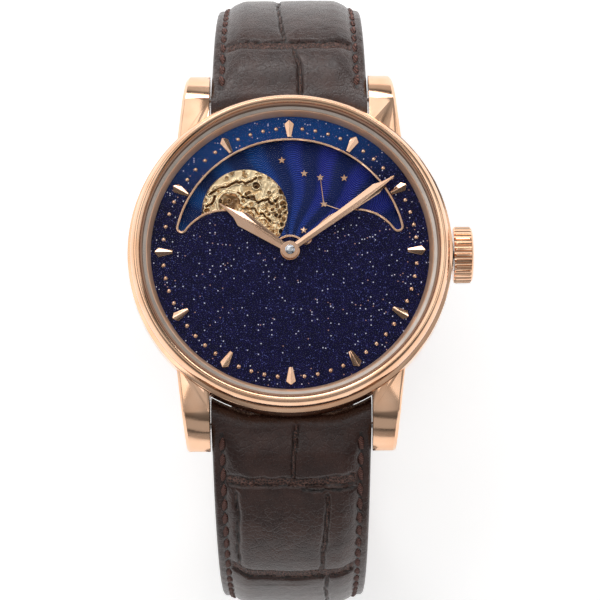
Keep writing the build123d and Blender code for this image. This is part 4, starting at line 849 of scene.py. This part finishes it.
strap = {
    "bar": (21.9, 1.4),
    "start": -15.0,  # heading at the spring bar, in degrees
    "widths": (20.7, 18.0, 66.0),  # at the root, at the far end, length of the taper
    "heights": (3.5, 4.0, 2.7, 6.0, 46.0),  # root, padded, far end, end of the rise, end of the fall
    "swell": (0.45, 4.0, 30.0, 70.0),  # more padding: height, and where it is full, fades, is gone
    "edge": 0.2,  # share of the height at the edge, above the middle
    "crown": 0.3,  # and how much more in the middle
    "curl": 0.55,  # radius of the outer edge
    "margin": 1.35,  # from the edge to the stitches
    "stitch": 2.1,
    "step": 0.25,
    "rim": [0.0, 0.05, 0.14, 0.27, 0.42, 0.6],  # close columns of points along the edge
    "outerColumns": 46,
    "liningColumns": 20,
    "tuck": 0.12,  # from the flank to the lining
    "rootRadius": 1.75,
    "rootReach": (21.1, 0.72),  # case radius and gap: the root follows the case at its corners
    "endRadius": 1.35,
    "tipRadius": 9.72,
    "deepest": 0.8,  # no crease goes further down
}
# a crease between two scales
scaleForm = {
    "wander": (0.35, 0.3),  # how far its line strays, along and across
    "wall": 0.1,
    "floor": (0.12, 0.2),  # depth, and more of it for each millimetre of half width
    "puff": (0.10, 0.22, 0.95),  # the scales' fall towards it: depth as above, and reach
    "lip": (0.2, 0.15),  # depth and width of the sharp edge beside it
    "rope": 0.15,  # height of the ridges in it
    "fine": (0.04, 0.9),
}
groove = {"start": 0.6, "width": 0.34, "shade": 0.36, "depth": 0.18, "beat": 0.14}
strapHoles = {
    "count": 5,
    "first": 11.0,
    "pitch": 5.5,
    "radius": 0.9,
    "spin": 0.065,  # so that no edge of the cutter lies along one of the strap's
    "slot": (2.2, 5.7, 5.4),
}
seam = {
    "start": 0.9,
    "stop": 3.2,  # before the far end without a tip
    "length": 1.92,
    "radius": 0.36,
    "lobes": 0.2,
    "twist": 4.2,
    "slant": 0.14,
    "arch": 0.16,
    "sink": 0.05,
}
upper = {
    "name": "strapTop",
    "side": 1,
    "route": [(24.3, 75), (14.9, 90), (17, 0)],  # radius and turn of a bend, or length and 0
    "tip": False,
    # half width and points (along, across)
    "creases": [
        (0.22, [(-3, 1.65), (0, 1.6), (4, 1.43), (6.6, 0.7)]),
        (0.62, [(8.1, -10.4), (7.7, -6), (7.5, 0), (7.8, 6), (8.2, 10.4)]),
        (0.19, [(8.6, -0.6), (13, -1.2), (18, -1.35), (24, -1.55), (26.5, -1.5)]),
        (0.60, [(26.8, -10.2), (27.3, -4), (27, 3), (27.6, 10.2)]),
        (0.20, [(27.5, 3.4), (33, 3.1), (38.5, 3.5)]),
        (0.55, [(38.4, -10), (38.9, 0), (38.5, 10)]),
        (0.18, [(39, -3.1), (44, -2.8), (49, -3.2)]),
        (0.50, [(49.2, -9.6), (49.7, 0), (49.3, 9.6)]),
        (0.18, [(49.6, 2.2), (54, 2.5), (58.6, 2.1)]),
        (0.45, [(58.6, -9.4), (59, 0), (58.5, 9.4)]),
        (0.17, [(59, -1.8), (63, -1.5), (66.6, -1.9)]),
        (0.42, [(66.4, -9.2), (66.8, 0), (66.5, 9.2)]),
    ],
}
lower = {
    "name": "strapBottom",
    "side": -1,
    "route": [(26.3, 75), (16.75, 90), (4, 0), (14, 45), (34, 0)],
    "tip": True,
    "creases": [
        (0.22, [(-3, 0.7), (0, 0.6), (3, 0.3), (6.0, 0.2)]),
        (0.52, [(6.5, -10.4), (6.8, -5), (6.9, 1), (6.7, 6), (6.3, 10.4)]),
        (0.14, [(8.2, -7.2), (13, -7.1), (20.4, -7.2)]),
        (0.22, [(8.6, 4.7), (13, 4.5), (17, 4.1), (21, 3.9)]),
        (0.07, [(7.6, 8.4), (7.9, 4), (7.9, 1.4)]),
        (0.75, [(20.3, -10.2), (21.9, -5), (22.3, 0), (21.9, 5), (20.8, 10.2)]),
        (0.19, [(23, 4.5), (27, 4.4), (31, 4.6), (34.5, 4.5)]),
        (0.55, [(34.6, -10), (35.2, 0), (34.7, 10)]),
        (0.19, [(35.5, -2.6), (41, -2.3), (46, -2.7)]),
        (0.52, [(46.2, -9.8), (46.8, 0), (46.3, 9.8)]),
        (0.18, [(47, 3.1), (52, 2.9), (56.8, 3.2)]),
        (0.48, [(57, -9.6), (57.4, 0), (57, 9.6)]),
        (0.17, [(57.6, -2.4), (62, -2.1), (66.8, -2.5)]),
        (0.45, [(67, -9.4), (67.4, 0), (67, 9.4)]),
        (0.17, [(67.6, 2.6), (72, 2.3), (76.4, 2.7)]),
        (0.42, [(76.6, -9.2), (77, 0), (76.6, 9.2)]),
        (0.40, [(85.8, -9), (86.2, 0), (85.8, 9)]),
        (0.38, [(94.6, -9), (95, 0), (94.6, 9)]),
        (0.16, [(95.4, 2.2), (99, 2.0), (102.6, 2.4)]),
        (0.34, [(102.8, -9), (103.1, 0), (102.8, 9)]),
    ],
}


def routeLength(half):
    return sum(size * radians(turn) if turn else size for size, turn in half["route"])


def onRoute(half, along):  # place and heading, on the side of twelve o'clock
    y, z = strap["bar"]
    heading = radians(strap["start"])
    for size, turn in half["route"]:
        length = size * radians(turn) if turn else size
        run = min(along, length)
        if turn:
            y += size * sin(heading)
            z -= size * cos(heading)
            heading -= run / size
            y -= size * sin(heading)
            z += size * cos(heading)
        else:
            y += run * cos(heading)
            z += run * sin(heading)
        along -= run
        if along <= 0:
            break
    return y, z, heading


def strapHeight(along):
    root, pad, end, swell, fall = strap["heights"]
    return root + (pad - root) * min(1, along / swell) + (end - pad) * min(1, along / fall)


def intoTip(half, along):  # how far past the middle of the tip's round, if there is a tip
    return along - routeLength(half) + strap["tipRadius"] if half["tip"] else 0.0


def strapHalf(half, along):  # half the width
    root, end, taper = strap["widths"]
    width = (root + (end - root) * min(1, along / taper)) / 2
    into = intoTip(half, along)
    if into > 0:
        width = min(width, sqrt(max(0.0, strap["tipRadius"] ** 2 - into**2)))
    return width


def fromEdge(half, along, across):
    gap = strapHalf(half, along) - abs(across)
    into = intoTip(half, along)
    if into > 0:
        gap = min(gap, strap["tipRadius"] - hypot(into, across))
    return max(0.0, gap)


def scaleField(half, along, across):  # its depth, and how much of a crease and a lip it is
    drop, mark, edge = 0.0, 0.0, 0.0
    seed = 11.0 * half["side"]
    floor, wideFloor = scaleForm["floor"]
    puff, widePuff, puffReach = scaleForm["puff"]
    lipDepth, lipWidth = scaleForm["lip"]
    x = along + scaleForm["wander"][0] * bumps(along * 0.45, across * 0.45, seed)
    y = across + scaleForm["wander"][1] * bumps(along * 0.4, across * 0.4, seed + 5)
    for width, points in half["creases"]:
        if not points[0][0] - 3 < along < points[-1][0] + 3 and not abs(points[0][0] - along) < 4:
            continue
        away = lineGap(points, x, y)
        if away > 3:
            continue
        beyond = max(0.0, away - width)
        inside = 1 - ease(width - scaleForm["wall"], width + scaleForm["wall"], away)
        lip = bell(away - width, lipWidth)
        rope = bumps(along * 2.9 + across * 1.9, across * 1.7 - along, seed + 9)
        rope += 0.6 * bumps(along * 5.5, across * 5.5, seed + 3)
        fine = bumps(along * 3.4, across * 3.4, seed) * scaleForm["fine"][0]
        depth = (floor + wideFloor * width) * inside + lipDepth * lip
        depth += (puff + widePuff * width) * exp(-beyond / puffReach)
        depth += fine * exp(-beyond / scaleForm["fine"][1]) - scaleForm["rope"] * inside * rope
        drop = max(drop, depth)
        mark = max(mark, inside)
        # the lip share is painted near-black in the leather: painted shade at the crease's edge
        edge = max(edge, lip * (0.75 + 0.5 * rope))
    return drop, mark, edge


def outerOffset(half, along, across):  # height of the outer face over the route, crease, lip
    away = fromEdge(half, along, across)
    width = strapHalf(half, along)
    crown = ease(0.9, 4.0, away) * (0.86 + 0.14 * (1 - (across / max(width, 0.1)) ** 2))
    share = strap["edge"] + strap["crown"] * crown
    share = 0.5 - (0.5 - share) * ease(0.0, 5.0, along)
    curl = strap["curl"]
    rolled = curl - sqrt(max(0.0, curl**2 - max(0.0, curl - away) ** 2))
    fade = ease(strap["margin"] + 0.15, strap["margin"] + 0.9, away)  # creases stop at the seam
    drop, mark, lip = (value * fade for value in scaleField(half, along, across))
    beside = abs(away - strap["margin"])
    if along > groove["start"]:
        beat = 0.5 + 0.5 * cos(tau * along / strap["stitch"])
        drop += bell(beside, groove["width"]) * (groove["depth"] + groove["beat"] * beat)
        # painted shade along the stitch groove, in a beat with the stitch pitch
        lip = max(lip, bell(beside, groove["shade"]) * (0.7 + 0.3 * beat))
    if away < strap["margin"]:
        drop += 0.06 * bumps(along * 1.1, 3.0 * half["side"], across) * ease(0.0, 0.4, away)
    drop += 0.03 * bumps(along * 0.7, across * 0.7, 2.0)
    lift, full, fading, gone = strap["swell"]
    puffed = lift * ease(0.3, full, along) * (1 - ease(fading, gone, along)) * ease(0.5, 2.5, away)
    height = strapHeight(along) * share + puffed - rolled - min(drop, strap["deepest"])
    return height, mark, min(1.0, lip)


def strapPoint(half, along, across, offset, wrap=0.0):  # past either end the section wraps round
    y, z, heading = onRoute(half, along)
    turn = heading + wrap
    y -= sin(turn) * offset
    z += cos(turn) * offset
    return Vector((across, y * half["side"], z)) * mm


def strapRows(half):  # distance and turn of each row, from the wrapped root to the far end
    length = routeLength(half)
    rows = [(0.0, pi * (1 - step / 12)) for step in range(12)]
    count = round(length / strap["step"])
    rows += [(length * step / count, 0.0) for step in range(count + 1)]
    if half["tip"]:
        rows[-1] = (length - 0.02, 0.0)
    else:
        rows += [(length, -pi * step / 10) for step in range(1, 11)]
    return rows


def outerShares():  # columns of the outer face: side, and share of the half width from the edge
    rim, count = strap["rim"], strap["outerColumns"]
    width = strap["widths"][0] / 2
    gaps = rim + [rim[-1] + (width - rim[-1]) * step / count for step in range(1, count + 1)]
    return [(-1, gap / width) for gap in gaps] + [(1, gap / width) for gap in reversed(gaps[:-1])]


def strapSection(half, along, wrap):  # a closed row of points as (across, offset, crease, lip)
    reach = strapHalf(half, along)
    thick = strap["rootRadius"] if wrap > 0 else strap["endRadius"]
    low = -thick if wrap else -strapHeight(along) / 2
    spots = []
    for side, share in outerShares():
        across = side * reach * (1 - share)
        offset, mark, lip = (thick, 0.0, 0.0) if wrap else outerOffset(half, along, across)
        if wrap > 0:
            caseRadius, gap = strap["rootReach"]
            bow = caseRadius - sqrt(caseRadius**2 - across**2)
            offset += max(0.0, bow - gap) * sin(wrap) ** 2
        spots.append((across, offset, mark, lip))
    flank = low if wrap else spots[-1][1] * 0.45 + low * 0.55
    spots.append((reach, flank, 0.0, 0.6))
    last = strap["liningColumns"] - 1
    for step in range(last + 1):
        tuck = strap["tuck"] if step in (0, last) else 0.0
        spots.append(((reach - tuck) * (1 - 2 * step / last), low, 0.0, 0.0))
    return spots + [(-reach, flank, 0.0, 0.6), spots[0]]


def makeStrap(half):
    rows = strapRows(half)
    outer, lining = len(outerShares()), strap["liningColumns"]
    columns = outer + lining + 3
    piece = sheet(columns, len(rows))
    mesh = piece.data
    marks = [mesh.attributes.new(name, "FLOAT", "POINT") for name in ("crease", "lip")]
    for row, (along, wrap) in enumerate(rows):
        for column, (across, offset, *tones) in enumerate(strapSection(half, along, wrap)):
            vertex = mesh.vertices[row * columns + column]
            turn = wrap if column < outer or column == columns - 1 else 0.0
            vertex.co = strapPoint(half, along, across, offset, turn)
            for attribute, tone in zip(marks, tones):
                attribute.data[vertex.index].value = tone
    for face in mesh.polygons:
        column = min(index % columns for index in face.vertices)
        face.material_index = 1 if outer <= column < outer + lining else 0
    edit(piece, remove_doubles=seamGap, fill_holes={"sides": 0}, normals_make_consistent=outwards)
    return piece


def cutStrap(piece, half):  # the holes, or the tang's slot
    length = routeLength(half)
    cutters = []
    if half["tip"]:
        for number in range(strapHoles["count"]):
            along = length - strapHoles["first"] - strapHoles["pitch"] * number
            y, z, heading = onRoute(half, along)
            radius = strapHoles["radius"] * mm
            bpy.ops.mesh.primitive_cylinder_add(vertices=27, radius=radius, depth=9 * mm)
            cutters.append(bpy.context.object)
            spun = Matrix.Rotation(strapHoles["spin"], 4, "Z")
            turned = Matrix.Rotation(heading * half["side"], 4, "X") @ spun
            cutters[-1].data.transform(Matrix.Translation((0, y * half["side"] * mm, z * mm)) @ turned)
    else:
        y, z, heading = onRoute(half, length)
        bpy.ops.mesh.primitive_cube_add(size=1, location=(0, y * mm, z * mm))
        slot = bpy.context.object
        slot.scale = tuple(part * mm for part in strapHoles["slot"])
        settle(slot)
        cutters.append(slot)
    cutter = joined(cutters)
    applied(piece, "BOOLEAN", object=cutter, operation="DIFFERENCE", solver="EXACT")
    bpy.data.objects.remove(cutter)


def seamPaths(half):  # the lines of stitches as (along, across) points, one or two to a strap
    length = routeLength(half)
    margin = strap["margin"]
    stop = length - (strap["tipRadius"] - 3.7 if half["tip"] else seam["stop"])
    count = round(stop / 0.5)
    line = [seam["start"] + (stop - seam["start"]) * step / count for step in range(count + 1)]
    right = [(along, strapHalf(half, along) - margin) for along in line]
    left = [(along, -across) for along, across in reversed(right)]
    if not half["tip"]:
        return [right, left]
    reach = strap["tipRadius"] - margin
    middle = length - strap["tipRadius"]
    first = asin(min(1, right[-1][1] / reach))
    turns = [first * (1 - step / 12) for step in range(1, 24)]
    arc = [(middle + reach * cos(turn), reach * sin(turn)) for turn in turns]
    return [right + arc + left]


def alongPath(points, distance):  # the point and the direction there
    for (ax, ay), (bx, by) in zip(points, points[1:]):
        run = hypot(bx - ax, by - ay)
        if distance <= run or (bx, by) == points[-1]:
            share = distance / run
            return ax + (bx - ax) * share, ay + (by - ay) * share, (bx - ax) / run, (by - ay) / run
        distance -= run


def makeSeam(half, under):  # twisted stitches along the outer face, or on the lining
    bpy.ops.mesh.primitive_uv_sphere_add(segments=8, ring_count=8, radius=1)
    first = bpy.context.object
    shape = [vertex.co.copy() for vertex in first.data.vertices]
    stitches = []
    for points in seamPaths(half):
        total = sum(hypot(bx - ax, by - ay) for (ax, ay), (bx, by) in zip(points, points[1:]))
        count = int(total / strap["stitch"])
        for number in range(count):
            along, across, goAlong, goAcross = alongPath(points, (number + 0.5) * total / count)
            offset = -strapHeight(along) / 2 if under else outerOffset(half, along, across)[0]
            slant = seam["slant"] * (1 if across > 0 else -1)
            stitches.append(twin(first))
            for vertex, spot in zip(stitches[-1].data.vertices, shape):
                turn = atan2(spot.y, spot.x)
                wide = seam["radius"] * (1 - spot.z**2) ** 0.3 if abs(spot.z) < 1 else 0.0
                wide *= 1 + seam["lobes"] * cos(3 * turn + seam["twist"] * spot.z)
                run = spot.z * seam["length"] / 2
                shift = wide * cos(turn) + slant * spot.z
                rise = wide * sin(turn) + seam["arch"] * (1 - spot.z**2) - seam["sink"]
                height = offset - rise * 0.5 if under else offset + rise
                there = along + goAlong * run - goAcross * shift
                vertex.co = strapPoint(half, there, across + goAcross * run + goAlong * shift, height)
    bpy.data.objects.remove(first)
    piece = joined(stitches)
    edit(piece, normals_make_consistent=outwards)
    smooth(piece, 80)
    return piece


for half, body in ((upper, "strap_12"), (lower, "strap_6")):
    piece = makeStrap(half)
    cutStrap(piece, half)
    smooth(piece, 50)
    put(piece, half["name"], body, "leather", [body])
    piece.data.materials.append(finishes["lining"])
    put(makeSeam(half, False), half["name"] + "Stitches", body, "thread")
    put(makeSeam(half, True), half["name"] + "Understitches", body, "thread")
print("straps made")


# Keepers: two leather loops, domed outside with rounded edges

loop = {
    "width": 9.75,
    "height": 3.35,
    "middle": -38.32,
    "corner": 1.0,
    "length": 4.4,
    "wall": 0.9,
    "crown": (0.27, 0.18),  # height of the outer face at its edge, and how much more in the middle
    "dent": 0.09,
}


def loopPath():  # round the inside of a keeper, with the way out at each point
    flatX, flatZ = loop["width"] - loop["corner"], loop["height"] - loop["corner"]
    corners = [(flatX, flatZ), (-flatX, flatZ), (-flatX, -flatZ), (flatX, -flatZ)]
    path = []
    for number, (x, z) in enumerate(corners):
        for step in range(9):
            turn = radians(90 * (number + step / 8))
            path.append((x, z, cos(turn), sin(turn)))
        nextX, nextZ = corners[(number + 1) % 4]
        runs = 30 if number % 2 == 0 else 8
        for step in range(1, runs):
            share = step / runs
            path.append((x + (nextX - x) * share, z + (nextZ - z) * share, *path[-1][2:]))
    return path + [path[0]]


def loopSection():  # across a keeper, as (along, outwards)
    reach, wall = loop["length"] / 2, loop["wall"] / 2
    low, more = loop["crown"]
    rise = [(-reach, -0.1), (-reach + 0.06, 0.12), (-reach + 0.2, low)]
    steps = [-1.7 + 0.34 * step for step in range(11)]
    face = [(along, low + more * (1 - (along / 2) ** 2)) for along in steps]
    fall = [(reach - 0.2, low), (reach - 0.06, 0.12), (reach, -0.1), (reach - 0.08, -wall)]
    return rise + face + fall + [(1.0, -wall), (-1.0, -wall), (-reach + 0.08, -wall), (-reach, -0.1)]


def makeKeeper(name, body, node, centre):
    path, section = loopPath(), loopSection()
    piece = sheet(len(section), len(path))
    crease = piece.data.attributes.new("crease", "FLOAT", "POINT")
    for row, (x, z, outX, outZ) in enumerate(path):
        for column, (y, lift) in enumerate(section):
            vertex = piece.data.vertices[row * len(section) + column]
            line = bumps(x * 0.5, y * 1.3, z * 0.5 + centre)
            dent = bell(line, 0.05) if lift > 0.2 else 0.0
            out = loop["corner"] + lift - dent * loop["dent"]
            vertex.co = Vector((x + outX * out, centre + y, loop["middle"] + z + outZ * out)) * mm
            # the dents take the creases' colours: paler ridges over floors of painted shade
            crease.data[vertex.index].value = dent
    edit(piece, remove_doubles=seamGap, normals_make_consistent=outwards)
    smooth(piece, 45)
    put(piece, name, body, "leather", [node])


makeKeeper("fixedLoop", "strap_12", "fixed_keeper", 13.0)
makeKeeper("slidingLoop", "sliding_keeper", "sliding_keeper", 21.0)
print("keepers made")


# Buckle and crown: turned and cast gold with softened edges

buckleSoft = {
    "buckle_frame": ("buckleFrame", "buckle", "gold", 0.14, 3, 28),
    "buckle_tang": ("buckleTang", "tang", "gold", 0.12, 3, 28),
    "crown": ("flutedCrown", "crown", "gold", 0.05, 3, 28),
}

soften(buckleSoft)
print("buckle and crown made")


# Plain finishes for the CAD nodes that stay as they are

kept = {
    "gold": ["buckle_bar"],
    "steel": [
        "spring_bar_12", "spring_bar_6", "crown_tube", "cannon_pinion", "barrel_arbor", "mainspring"
    ],
    "wheelSteel": ["ratchet_wheel", "crown_wheel", "click", "regulator", "escape_wheel", "pallet_fork"],
    "darkSteel": ["balance_staff", "winding_stem", "winding_pinion"],
    "nylon": ["crystal_gasket"],
    "rubber": ["case_back_gasket", "crown_gasket"],
    "dial": ["dial"],
    "sky": ["moon_disc"],
    "crystal": ["back_crystal"],
    "nickel": ["barrel_bridge", "train_bridge", "balance_cock", "pallet_bridge"],
    "plate": ["main_plate"],
    "brass": [
        "movement_ring", "hour_wheel", "minute_wheel", "centre_wheel", "third_wheel", "fourth_wheel"
    ],
    "yellowGold": ["barrel", "balance_wheel"],
    "ruby": ["jewels", "pallet_stones"],
    "blueSteel": ["bridge_screws", "case_back_screws", "ratchet_screw", "hairspring"],
}
for finish, names in kept.items():
    for node in names:
        paint(nodes[node].data, finish)
print("kept nodes painted")
